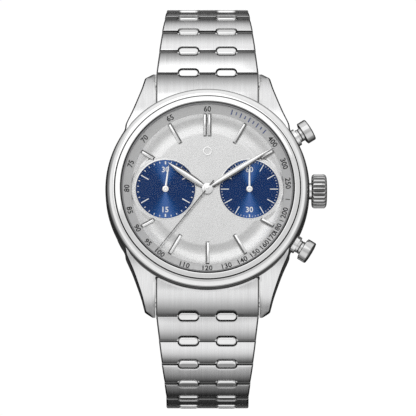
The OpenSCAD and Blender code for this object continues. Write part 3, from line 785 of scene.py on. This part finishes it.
bm = bmesh.new()
rows = []
for y, hw in ((-1.95, 0.13), (-1.2, 0.13), (0, 0.125), (4, 0.11), (8, 0.095), (12, 0.08), (15.3, 0.06), (15.6, 0.02)):
    rows.append([bm.verts.new(p) for p in ((-hw, y, 9.80), (-hw, y, 9.87), (0, y, 9.90), (hw, y, 9.87), (hw, y, 9.80))])
for a, b in zip(rows, rows[1:]):
    for i in range(5):
        j = (i + 1) % 5
        bm.faces.new((a[i], a[j], b[j], b[i]))
bm.faces.new(rows[0][::-1])
bm.faces.new(rows[-1])
bmesh.ops.transform(bm, matrix=Matrix.Rotation(-math.radians(218.7), 4, "Z"), verts=bm.verts[:])
lathe_bm(rounded([(0, 9.78), (0.66, 9.78), (0.66, 9.93), (0.5, 9.98), (0.3, 9.985), (0.26, 10.03), (0, 10.05)], 0.02, closed=False), 64, closed=False, bm=bm, mat=1)
lathe_bm([(0, 6.2), (0.24, 6.2), (0.24, 9.8), (0, 9.8)], 32, closed=False, bm=bm)
o = build("hand_chrono", bm, [M_THIN, M_HAND], "chrono_hand", smooth=30)
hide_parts("chrono_hand")


def small_hand(name, body, a_deg, cx, length):
    bm = bmesh.new()
    rows = []
    for y, hw in ((-0.2, 0.2), (0.6, 0.17), (2.5, 0.15), (length - 0.35, 0.11), (length - 0.05, 0.06), (length, 0.02)):
        rows.append([bm.verts.new(p) for p in ((-hw, y, 8.70), (-hw, y, 8.765), (0, y, 8.80), (hw, y, 8.765), (hw, y, 8.70))])
    for a, b in zip(rows, rows[1:]):
        for i in range(5):
            j = (i + 1) % 5
            bm.faces.new((a[i], a[j], b[j], b[i]))
    bm.faces.new(rows[0][::-1])
    bm.faces.new(rows[-1])
    bmesh.ops.transform(bm, matrix=Matrix.Rotation(-math.radians(a_deg), 4, "Z"), verts=bm.verts[:])
    lathe_bm(rounded([(0, 8.69), (0.63, 8.69), (0.63, 8.82), (0.50, 8.90), (0.24, 8.91), (0.2, 8.87), (0, 8.87)], 0.03, closed=False), 64, closed=False, bm=bm)
    lathe_bm([(0, 7.0), (0.24, 7.0), (0.24, 8.7), (0, 8.7)], 32, closed=False, bm=bm)
    o = build(name, bm, [M_HAND], body, smooth=30, matrix=Matrix.Translation((cx * MM, 0, 0)))
    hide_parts(body)


small_hand("hand_seconds", "seconds_hand", 0, SX, 5.0)
small_hand("hand_counter", "counter_hand", 7.5, -SX, 4.65)

# ------------------------------------------------------------------ crown, pushers and their tubes


def radial(a_deg):
    return Matrix.Rotation(math.radians(a_deg), 4, "Z") @ Matrix.Translation((0, 0, CZ)) @ Matrix.Rotation(PI / 2, 4, "Y")


bm = bmesh.new()
CR = 3.32
NF = 24
K = 14
prof = [(0.62, 20.06, 0), (CR - 0.75, 20.06, 0), (CR - 0.45, 20.10, 0.0), (CR - 0.2, 20.25, 0.35), (CR - 0.06, 20.42, 0.9), (CR, 20.62, 1.0), (CR, 21.2, 1.0), (CR, 21.9, 1.0), (CR, 22.45, 1.0),
        (CR - 0.07, 22.62, 0.9), (CR - 0.22, 22.78, 0.45), (CR - 0.42, 22.90, 0.05), (CR - 0.75, 23.00, 0), (CR - 1.4, 23.06, 0), (1.0, 23.09, 0), (0.0, 23.10, 0)]
rings = []
for r, z, g in prof:
    if r <= 0:
        rings.append([bm.verts.new((0, 0, z))])
        continue
    ring = []
    for i in range(NF * K):
        a = 2 * PI * i / (NF * K)
        ph = (i % K) / K
        w = 0.5 - 0.5 * math.cos(2 * PI * ph)
        cut = 0.30 * max(0.0, (w - 0.28) / 0.72) ** 0.7 * g
        ring.append(bm.verts.new(((r - cut) * math.cos(a), (r - cut) * math.sin(a), z)))
    rings.append(ring)
n = NF * K
for a, b in zip(rings, rings[1:]):
    for i in range(n):
        j = (i + 1) % n
        if len(b) == 1:
            bm.faces.new((a[i], a[j], b[0]))
        else:
            f = bm.faces.new((a[i], a[j], b[j], b[i]))
            # The hollows of the flutes take the dark facet steel: painted shade in the grooves.
            ph = ((i % K) + 0.5) / K
            if 0.5 - 0.5 * math.cos(2 * PI * ph) > 0.45 and 20.2 < f.calc_center_median().z < 22.8:
                f.material_index = 1
bmesh.ops.transform(bm, matrix=radial(0), verts=bm.verts[:])
o = build("crown_fluted", bm, [M_BTN, M_SHADE_FACET], "crown", smooth=38)
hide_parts("crown")

for body, s in (("pusher_start", 1), ("pusher_reset", -1)):
    prof = rounded([(0, 15.9), (1.3, 15.9), (1.3, 20.85), (1.22, 20.9), (1.22, 21.0), (1.3, 21.05), (1.3, 21.5), (1.9, 21.5), (2.2, 21.62), (2.2, 23.1), (2.1, 23.3), (1.6, 23.38), (0, 23.4)], 0.09, 4, closed=False)
    bm = lathe_bm(prof, 96, closed=False)
    for f in bm.faces:
        z = f.calc_center_median().z
        # The cap's rim and the grooves of the stem take the dark facet steel: painted shade.
        if 23.08 < z < 23.37 or 20.84 < z < 21.06 or 21.49 < z < 21.64:
            f.material_index = 1
    bmesh.ops.transform(bm, matrix=radial(s * 31.5), verts=bm.verts[:])
    o = build("button_" + body, bm, [M_BTN, M_SHADE_FACET], body, smooth=30)
    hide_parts(body)

bm = bmesh.new()
for s in (-1, 1):
    lathe_bm(rounded([(1.36, 16.6), (1.74, 16.6), (1.74, 20.42), (1.36, 20.42)], 0.08), 64, bm=bm, axis_matrix=radial(s * 31.5))
o = build("button_tubes", bm, [M_POL2], HEAD, smooth=30)
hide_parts("pusher_tubes")

# ------------------------------------------------------------------ bracelet
SLOPE = [8, 20, 34, 49, 64, 80, 96, 112, 128, 144, 160, 173]
PITCH = 4.76
SLOPES = {6: SLOPE, 12: [8, 17, 29, 45.5, 63.5, 81.5, 99.5, 115.5, 128.5, 141, 154.5, 170]}
PINS = {}
for side in (6, 12):
    PINS[side] = [None, (23.69, 1.975)]
    for k in range(1, 12):
        y, z = PINS[side][k]
        h = math.radians(SLOPES[side][k])
        PINS[side].append((y + PITCH * math.cos(h), z - PITCH * math.sin(h)))
UP, DOWN, GAP = 0.85, 1.75, 0.10
BX, BH, BRAD = 3.68, 2.0, 0.825


def link_w(k):
    return max(16.0, 19.8 - 1.05 * (k - 1))


def link_mat(k, side):
    y, z = PINS[side][k]
    m = Matrix.Translation((0, y * MM, z * MM)) @ Matrix.Rotation(-math.radians(SLOPES[side][k]), 4, "X")
    if side == 6:
        m = Matrix.Rotation(PI, 4, "Z") @ m
    return m


def end_row(u, sgn, hw, pocket, step=14):
    """Points along one end of a link from -hw to +hw: straight, with two half-stadium notches into the link."""
    pts = [(-hw, u)]
    r = BRAD + 0.10
    a = BH - BRAD
    if pocket:
        for c in (-BX, BX):
            left, right = c - a, c + a
            pts.append((left - r, u))
            for i in range(1, step + 1):
                th = PI / 2 * i / step
                pts.append((left - r * math.cos(th), u + sgn * r * math.sin(th)))
            for i in range(0, step + 1):
                th = PI / 2 * i / step
                pts.append((right + r * math.sin(th), u + sgn * r * math.cos(th)))
    pts.append((hw, u))
    return pts


def dome_n(u, k_end=0.0):
    if u < 1.4:
        return 0.98 - 0.08 * ((1.4 - u) / 1.4) ** 2
    t = (u - 1.4) / (PITCH - 1.4)
    return 0.98 - 0.42 * t ** 2.4


def link_mesh(name, w1, w2):
    """Outer skin of one link in its own frame: x across, y along the bracelet, z outward, the near pin at the origin."""
    bm = bmesh.new()
    g = GAP / 2
    c = 0.05 + DOWN * math.tan(math.radians(9.6))
    near = end_row(g, 1, w1 / 2, True)
    far = end_row(PITCH - g - 0.03, -1, w2 / 2, True)
    nn = len(near)
    ss = [i / 12 for i in range(13)]
    # rows across the link at fixed x-index, so top faces are quads that carry the dome
    top = []
    for (x0, u0), (x1, u1) in zip(near, far):
        col = []
        for s in ss:
            x, u = x0 + (x1 - x0) * s, u0 + (u1 - u0) * s
            col.append(bm.verts.new((x, u, dome_n(u))))
        top.append(col)
    for a, b in zip(top, top[1:]):
        for i in range(len(ss) - 1):
            f = bm.faces.new((a[i], b[i], b[i + 1], a[i + 1]))
            f.material_index = 0
    # end walls down to the pocket floor, then the plain lower part with relieved ends
    def wall(row, u_line, u_low, sgn):
        mid = [bm.verts.new((v.co.x, v.co.y, -0.93)) for v in row]
        flat = [bm.verts.new((v.co.x, u_line, -0.93)) for v in row]
        low = [bm.verts.new((v.co.x * (1 - 0.0), u_low, -DOWN)) for v in row]
        for q0, q1 in ((row, mid), (mid, flat), (flat, low)):
            for a, b, cc, d in zip(q0, q0[1:], q1[1:], q1):
                f = bm.faces.new((a, b, cc, d))
                # end walls facing the next link take the near-black edge steel and the pocket walls the mid-dark pocket
                # steel: painted shade in the seams and pockets
                f.material_index = 4 if q0 is row and abs(a.co.y - u_line) + abs(b.co.y - u_line) > 0.15 else 3
        return mid, flat, low
    n_row = [col[0] for col in top]
    f_row = [col[-1] for col in top]
    m0, fl0, l0 = wall(n_row, g, c, 1)
    m1, fl1, l1 = wall(f_row, PITCH - g, PITCH - c, -1)
    # underside
    for i in range(nn - 1):
        f = bm.faces.new((l0[i], l0[i + 1], l1[i + 1], l1[i]))
        f.material_index = 0
    # side walls
    for idx in (0, -1):
        loop = [top[idx][i] for i in range(len(ss))] + [m1[idx], fl1[idx], l1[idx], l0[idx], fl0[idx], m0[idx]]
        f = bm.faces.new(loop)
        f.material_index = 1
    bmesh.ops.remove_doubles(bm, verts=bm.verts[:], dist=0.0005)
    bmesh.ops.recalc_face_normals(bm, faces=bm.faces[:])
    return bm


def bead_bm(bm):
    """Two polished beads threaded on the pin, slightly flattened on top."""
    for c in (-BX, BX):
        prof = []
        a = BH - BRAD
        for i in range(11):
            th = PI / 2 * i / 10
            prof.append((BRAD * math.sin(th), -a - BRAD * math.cos(th)))
        for i in range(11):
            th = PI / 2 * i / 10
            prof.append((BRAD * math.cos(th), a + BRAD * math.sin(th)))
        m = Matrix.Translation((c, 0, 0)) @ Matrix.Rotation(PI / 2, 4, "Y")
        before = set(bm.verts)
        lathe_bm([(max(0.0, r) if 0 < i < len(prof) - 1 else 0.0, z) for i, (r, z) in enumerate(prof)], 48, closed=False, bm=bm, axis_matrix=m, mat=2)
        # the polished cushion top stands just proud of the link
        for v in bm.verts:
            if v not in before and v.co.z > 0:
                k = min(1.0, v.co.z / BRAD)
                v.co.z = BRAD * (1 - (1 - k) ** 2.6) + 0.02 * k


def pin_bm(bm, w):
    prof = rounded([(0, -w / 2 + 0.1), (0.40, -w / 2 + 0.1), (0.40, w / 2 - 0.1), (0, w / 2 - 0.1)], 0.08, 3, closed=False)
    lathe_bm(prof, 32, closed=False, bm=bm, axis_matrix=Matrix.Rotation(PI / 2, 4, "Y"), mat=2)


def knuckles_bm(bm, w, near=True, far=True):
    def cyl(x0, x1, u, r=0.62):
        # the knuckles take the dark facet steel: painted shade between the links
        lathe_bm(rounded([(0, x0), (r, x0), (r, x1), (0, x1)], 0.05, 2, closed=False), 40, closed=False, bm=bm,
                 axis_matrix=Matrix.Translation((0, u, 0)) @ Matrix.Rotation(PI / 2, 4, "Y"), mat=5)
    if near:
        cyl(5.92, w / 2 - 0.02, 0)
        cyl(-w / 2 + 0.02, -5.92, 0)
    if far:
        cyl(-1.42, 1.42, PITCH)


def sharp_top(e):
    zs = [v.co.z for v in e.verts]
    return min(zs) > 0.3


def side_edges(e):
    return True


for side in (12, 6):
    for k in range(1, 12):
        name = "link_%d_%02d" % (side, k)
        bm = link_mesh(name, link_w(k), link_w(k + 1))
        w1, w2 = link_w(k), link_w(k + 1)

        def on_side(v, tol=0.02):
            return abs(abs(v.co.x) - (w1 + (w2 - w1) * v.co.y / PITCH) / 2) < tol

        def top_edges(side_ones):
            return [e for e in bm.edges if len(e.link_faces) == 2 and e.calc_face_angle(0.0) > math.radians(35)
                    and min(v.co.z for v in e.verts) > 0.3
                    and (all(on_side(v) for v in e.verts) and abs(e.verts[0].co.y - e.verts[1].co.y) > 0.05) == side_ones]
        # the side bevels take the near-black edge steel (material 3): painted shade
        bmesh.ops.bevel(bm, geom=top_edges(True), offset=0.30, offset_type="OFFSET", segments=3, profile=0.5, affect="EDGES", clamp_overlap=True, material=3)
        ends = top_edges(False)
        far_e = [e for e in ends if min(v.co.y for v in e.verts) > PITCH / 2]
        near_e = [e for e in ends if max(v.co.y for v in e.verts) < PITCH / 2]
        # the far-end bevel takes the dark facet steel and its pocket parts the mid-dark pocket steel: painted shade at
        # the far seam
        bmesh.ops.bevel(bm, geom=far_e, offset=0.09, offset_type="OFFSET", segments=2, profile=0.5, affect="EDGES", clamp_overlap=True, material=5)
        for f in bm.faces:
            if f.material_index == 5 and abs(f.calc_center_median().y - (PITCH - 0.08)) > 0.16:
                f.material_index = 4
        near_e = [e for e in near_e if e.is_valid]
        # the near-end bevel is bright polished steel on the 6 side and the painted-shade brushed steel on the 12 side:
        # a per-side choice that paints how the light falls
        bmesh.ops.bevel(bm, geom=near_e, offset=0.09, offset_type="OFFSET", segments=2, profile=0.5, affect="EDGES", clamp_overlap=True, material=1 if side == 6 else 0)
        low = [e for e in bm.edges if len(e.link_faces) == 2 and e.calc_face_angle(0.0) > math.radians(35) and max(v.co.z for v in e.verts) < -1.5]
        bmesh.ops.bevel(bm, geom=low, offset=0.18, offset_type="OFFSET", segments=2, profile=0.5, affect="EDGES", clamp_overlap=True, material=1)
        knuckles_bm(bm, link_w(k))
        bead_bm(bm)
        pin_bm(bm, link_w(k))
        o = build("bracelet_" + name, bm, [M_LINK, M_POL2, M_POL, M_SHADE_EDGE, M_SHADE_POCKET, M_SHADE_FACET], name, smooth=28, matrix=link_mat(k, side))
        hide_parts(name)


def end_link_bm():
    """End link in the frame of the first pin: the same outer end as a link, then a convex top up to the case."""
    bm = bmesh.new()
    w = 9.95
    h0 = math.radians(8)
    py, pz = PINS[12][1]

    def loc(y, z):
        """World y, z to the frame turned by the end link's own slope."""
        dy, dz = y - py, z - pz
        return (dy * math.cos(h0) - dz * math.sin(h0), dy * math.sin(h0) + dz * math.cos(h0))
    top_world = [(23.757, 2.72), (23.5, 3.02), (23.2, 3.30), (22.9, 3.58), (22.5, 3.93), (22.0, 4.33), (21.5, 4.68), (21.0, 5.0), (20.4, 5.33), (19.9, 5.57), (19.4, 5.78), (18.6, 6.02), (17.5, 6.25), (17.1, 6.31)]
    tl = [loc(y, z) for y, z in top_world]
    far = end_row(-GAP / 2, -1, w, True)
    ends = []
    us = [t[0] for t in tl][::-1]
    ns = [t[1] for t in tl][::-1]

    def top_n(u):
        return smooth_interp(us, ns, u)
    cols = []
    S = [i / 20 for i in range(21)]
    u_in = tl[-1][0]
    for x, u0 in far:
        col = []
        for s in S:
            u = u0 + (u_in - u0) * s
            col.append(bm.verts.new((x, u, top_n(u))))
        cols.append(col)
    for a, b in zip(cols, cols[1:]):
        for i in range(len(S) - 1):
            bm.faces.new((a[i], b[i], b[i + 1], a[i + 1]))
    row = [c[0] for c in cols]
    inner = [c[-1] for c in cols]
    mid = [bm.verts.new((v.co.x, v.co.y, -0.93)) for v in row]
    flat = [bm.verts.new((v.co.x, -GAP / 2, -0.93)) for v in row]
    lw = loc(23.11, 0.29)
    low = [bm.verts.new((v.co.x, lw[0], lw[1])) for v in row]
    l2 = loc(20.8, 0.75)
    low2 = [bm.verts.new((v.co.x, l2[0], l2[1])) for v in row]
    l3 = loc(17.1, 2.1)
    low3 = [bm.verts.new((v.co.x, l3[0], l3[1])) for v in row]
    # the end walls take the near-black edge steel: painted shade in the seam
    for q0, q1, m_ in ((row, mid, 3), (mid, flat, 3), (flat, low, 3), (low, low2, 0), (low2, low3, 0), (low3, inner, 0)):
        for a, b, cc, d in zip(q0, q0[1:], q1[1:], q1):
            f = bm.faces.new((a, b, cc, d))
            f.material_index = m_
    for idx in (0, -1):
        f = bm.faces.new([v for v in cols[idx]] + [low3[idx], low2[idx], low[idx], flat[idx], mid[idx]])
        f.material_index = 1
    bmesh.ops.remove_doubles(bm, verts=bm.verts[:], dist=0.0005)
    bmesh.ops.recalc_face_normals(bm, faces=bm.faces[:])
    es = [e for e in bm.edges if len(e.link_faces) == 2 and e.calc_face_angle(0.0) > math.radians(35) and min(v.co.z for v in e.verts) > 0.2]
    sides = [e for e in es if all(abs(abs(v.co.x) - w) < 0.01 for v in e.verts)]
    # side bevels take the near-black edge steel and the other top bevels the dark facet steel: painted shade
    bmesh.ops.bevel(bm, geom=sides, offset=0.26, offset_type="OFFSET", segments=2, profile=0.5, affect="EDGES", clamp_overlap=True, material=3)
    es = [e for e in es if e.is_valid and e not in sides]
    bmesh.ops.bevel(bm, geom=es, offset=0.09, offset_type="OFFSET", segments=2, profile=0.5, affect="EDGES", clamp_overlap=True, material=4)
    # knuckle in the dark facet steel: painted shade
    lathe_bm(rounded([(0, -1.42), (0.62, -1.42), (0.62, 1.42), (0, 1.42)], 0.05, 2, closed=False), 40, closed=False, bm=bm, axis_matrix=Matrix.Rotation(PI / 2, 4, "Y"), mat=4)
    return bm


for side in (12, 6):
    name = "end_link_%d" % side
    m = Matrix.Translation((0, PINS[12][1][0] * MM, PINS[12][1][1] * MM)) @ Matrix.Rotation(-math.radians(8), 4, "X")
    if side == 6:
        m = Matrix.Rotation(PI, 4, "Z") @ m
    o = build("bracelet_" + name, end_link_bm(), [M_END, M_POL2, M_POL, M_SHADE_EDGE, M_SHADE_FACET], HEAD, smooth=28, matrix=m)
    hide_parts(name)

# ------------------------------------------------------------------ CAD pieces that keep their own shape


def dress(node, mats, bevel=0.0, angle=30):
    o = nodes[node]
    o.data.materials.clear()
    for m in mats:
        o.data.materials.append(m)
    w = o.modifiers.new("weld", "WELD")
    w.merge_threshold = 0.000002
    if bevel:
        b = o.modifiers.new("bevel", "BEVEL")
        b.width = bevel * MM
        b.segments = 2
        b.limit_method = "ANGLE"
        b.angle_limit = math.radians(angle)
        b.use_clamp_overlap = True
        b.harden_normals = False


for n_ in ("case_back",):
    dress(n_, [M_POL2], 0.06)
dress("case_back_glass", [M_GLASS])
dress("case_back_gasket", [M_RUBBER])
for n_ in ("movement_ring",):
    dress(n_, [M_POL2])
dress("main_plate", [M_GILT])
dress("bridges", [M_RHOD], 0.05)
dress("rotor", [M_RHOD], 0.05)
dress("barrel", [M_GILT])
dress("balance_wheel", [M_GILT])
dress("crown_tube", [M_POL2])
dress("winding_stem", [M_POL2])
dress("spring_bars", [M_POL2])
dress("clasp_inner_blade", [M_POL2], 0.08)
dress("clasp_middle_blade", [M_POL2], 0.08)
dress("clasp_cover", [M_CLASP], 0.15)
dress("clasp_button_left", [M_POL2], 0.12)
dress("clasp_button_right", [M_POL2], 0.12)

# ------------------------------------------------------------------ floor, light and camera
FLOOR_Z = CAD_BOX[0][2]
fm = bmesh.new()
bmesh.ops.create_grid(fm, x_segments=4, y_segments=4, size=2.0)
me = bpy.data.meshes.new("floor")
fm.to_mesh(me)
fm.free()
floor = bpy.data.objects.new("floor", me)
floor.location = (0, 0, FLOOR_Z - 0.0001)
bpy.context.scene.collection.objects.link(floor)
m, nt, b = new_mat("floor_pale_painted_shade")
nt.nodes.remove(b)
out = next(n for n in nt.nodes if n.type == "OUTPUT_MATERIAL")
lp = nt.nodes.new("ShaderNodeLightPath")
e_cam = nt.nodes.new("ShaderNodeEmission")
e_cam.inputs["Color"].default_value = (1, 1, 1, 1)
e_cam.inputs["Strength"].default_value = 1.02
e_ref = nt.nodes.new("ShaderNodeEmission")
tc = nt.nodes.new("ShaderNodeTexCoord")
sp = nt.nodes.new("ShaderNodeSeparateXYZ")
nt.links.new(tc.outputs["Object"], sp.inputs[0])


def fmath(tree, op, a, b=0.0, c=None):
    n = tree.nodes.new("ShaderNodeMath")
    n.operation = op
    for i, v in enumerate((a, b) if c is None else (a, b, c)):
        if isinstance(v, (int, float)):
            n.inputs[i].default_value = v
        else:
            tree.links.new(v, n.inputs[i])
    return n.outputs[0]


def horizontal(tree, x, y):
    """Distance from the axis and the two weights that say how much a direction points to 12 and to 6."""
    d = fmath(tree, "SQRT", fmath(tree, "ADD", fmath(tree, "MULTIPLY", x, x), fmath(tree, "MULTIPLY", y, y)))
    hy = fmath(tree, "DIVIDE", y, fmath(tree, "ADD", d, 1e-5))
    return d, mapped(tree, hy, 0.0, 1.0, 0.30, 0.85), mapped(tree, hy, 0.0, 1.0, -0.30, -0.85)


def blend3(tree, side, pos, neg, wp, wn):
    r = fmath(tree, "MULTIPLY", pos, wp)
    r = fmath(tree, "MULTIPLY_ADD", neg, wn, r)
    ws = fmath(tree, "SUBTRACT", fmath(tree, "SUBTRACT", 1.0, wp), wn)
    return fmath(tree, "MULTIPLY_ADD", side, ws, r)


def grey(tree, fac, lo, hi, stops):
    """Ramp over real positions from lo to hi, read as a grey value."""
    c = ramp(tree, mapped(tree, fac, 0.0, 1.0, lo, hi), [((p - lo) / (hi - lo), v) for p, v in stops])
    g = tree.nodes.new("ShaderNodeRGBToBW")
    tree.links.new(c, g.inputs[0])
    return g.outputs[0]


# Camera rays see a plain white floor. Other rays see it glow with a ramp that is dark under and near the watch,
# brightest towards 12, dimmer towards 6 and dimmest at the sides: painted shade under the watch and painted light in
# its reflections.
d_, wp_, wn_ = horizontal(nt, sp.outputs["X"], sp.outputs["Y"])
f_pos = grey(nt, d_, 0.0, 0.4, [(0.0, 0.02), (0.045, 0.03), (0.06, 0.05), (0.075, 0.16), (0.10, 0.45), (0.14, 0.72), (0.4, 0.90)])
f_neg = grey(nt, d_, 0.0, 0.4, [(0.0, 0.02), (0.045, 0.02), (0.06, 0.02), (0.08, 0.10), (0.13, 0.28), (0.4, 0.38)])
f_sid = grey(nt, d_, 0.0, 0.4, [(0.0, 0.02), (0.05, 0.06), (0.12, 0.16), (0.4, 0.22)])
nt.links.new(blend3(nt, f_sid, f_pos, f_neg, wp_, wn_), e_ref.inputs["Strength"])
mx = nt.nodes.new("ShaderNodeMixShader")
nt.links.new(lp.outputs["Is Camera Ray"], mx.inputs[0])
nt.links.new(e_ref.outputs[0], mx.inputs[1])
nt.links.new(e_cam.outputs[0], mx.inputs[2])
nt.links.new(mx.outputs[0], out.inputs["Surface"])
me.materials.append(m)

world = bpy.data.worlds.new("studio")
bpy.context.scene.world = world
world.use_nodes = True
wt = world.node_tree
bg = next(n for n in wt.nodes if n.type == "BACKGROUND")
tc = wt.nodes.new("ShaderNodeTexCoord")
sp = wt.nodes.new("ShaderNodeSeparateXYZ")
wt.links.new(tc.outputs["Generated"], sp.inputs[0])


z_ = sp.outputs["Z"]
d_, wp_, wn_ = horizontal(wt, sp.outputs["X"], sp.outputs["Y"])
w_pos = grey(wt, z_, -1.0, 1.0, [(-1.0, 0.05), (-0.48, 0.45), (-0.19, 0.70), (0.0, 0.92), (0.1, 0.96), (0.4, 0.97), (0.72, 0.86), (0.90, 0.80), (0.985, 0.78), (1.0, 0.74)])
w_neg = grey(wt, z_, -1.0, 1.0, [(-1.0, 0.02), (-0.47, 0.25), (-0.2, 0.36), (0.04, 0.30), (0.16, 0.62), (0.3, 0.92), (0.72, 0.95), (0.87, 0.88), (0.95, 0.50), (1.0, 0.70)])
w_sid = grey(wt, z_, -1.0, 1.0, [(-1.0, 0.06), (-0.3, 0.22), (0.0, 0.26), (0.12, 0.20), (0.26, 0.36), (0.5, 0.78), (0.72, 0.98), (0.92, 0.66), (1.0, 0.74)])
val = blend3(wt, w_sid, w_pos, w_neg, wp_, wn_)
cmb = wt.nodes.new("ShaderNodeCombineColor")
for i in range(3):
    wt.links.new(val, cmb.inputs[i])
wt.links.new(cmb.outputs[0], bg.inputs["Color"])
bg.inputs["Strength"].default_value = 1.04
# the camera itself sees the same plain white as the floor
bg_cam = wt.nodes.new("ShaderNodeBackground")
bg_cam.inputs["Color"].default_value = (1, 1, 1, 1)
bg_cam.inputs["Strength"].default_value = 1.02
w_lp = wt.nodes.new("ShaderNodeLightPath")
w_mx = wt.nodes.new("ShaderNodeMixShader")
w_out = next(n for n in wt.nodes if n.type == "OUTPUT_WORLD")
wt.links.new(w_lp.outputs["Is Camera Ray"], w_mx.inputs[0])
wt.links.new(bg.outputs[0], w_mx.inputs[1])
wt.links.new(bg_cam.outputs[0], w_mx.inputs[2])
wt.links.new(w_mx.outputs[0], w_out.inputs["Surface"])


def area(name, loc, target, size, radiance, size_y=None):
    li = bpy.data.lights.new(name, "AREA")
    sy = size_y or size
    li.energy = radiance * math.pi * size * sy
    li.size = size
    if size_y:
        li.shape = "RECTANGLE"
        li.size_y = size_y
    o = bpy.data.objects.new(name, li)
    o.location = loc
    d = Vector(target) - Vector(loc)
    o.rotation_euler = d.to_track_quat("-Z", "Y").to_euler()
    bpy.context.scene.collection.objects.link(o)
    return o


area("key", (-0.12, 0.36, 0.62), (0, 0, 0), 0.55, 0.52)

DIST = 1.5
ELEV = math.radians(80)
FIELD = 0.0803
AIM = Vector((0.0001, -0.00327, 0.006))
cam_d = bpy.data.cameras.new("camera")
cam_d.sensor_width = 36.0
cam_d.lens = 36.0 * DIST / FIELD
cam_d.clip_start = 0.01
cam_d.clip_end = 20.0
cam = bpy.data.objects.new("camera", cam_d)
back = Vector((0, -math.cos(ELEV), math.sin(ELEV)))
cam.location = AIM + back * DIST
cam.rotation_euler = (-back).to_track_quat("-Z", "Y").to_euler()
bpy.context.scene.collection.objects.link(cam)
bpy.context.scene.camera = cam
bpy.context.scene.view_settings.view_transform = "Standard"
bpy.context.scene.view_settings.exposure = 0.0
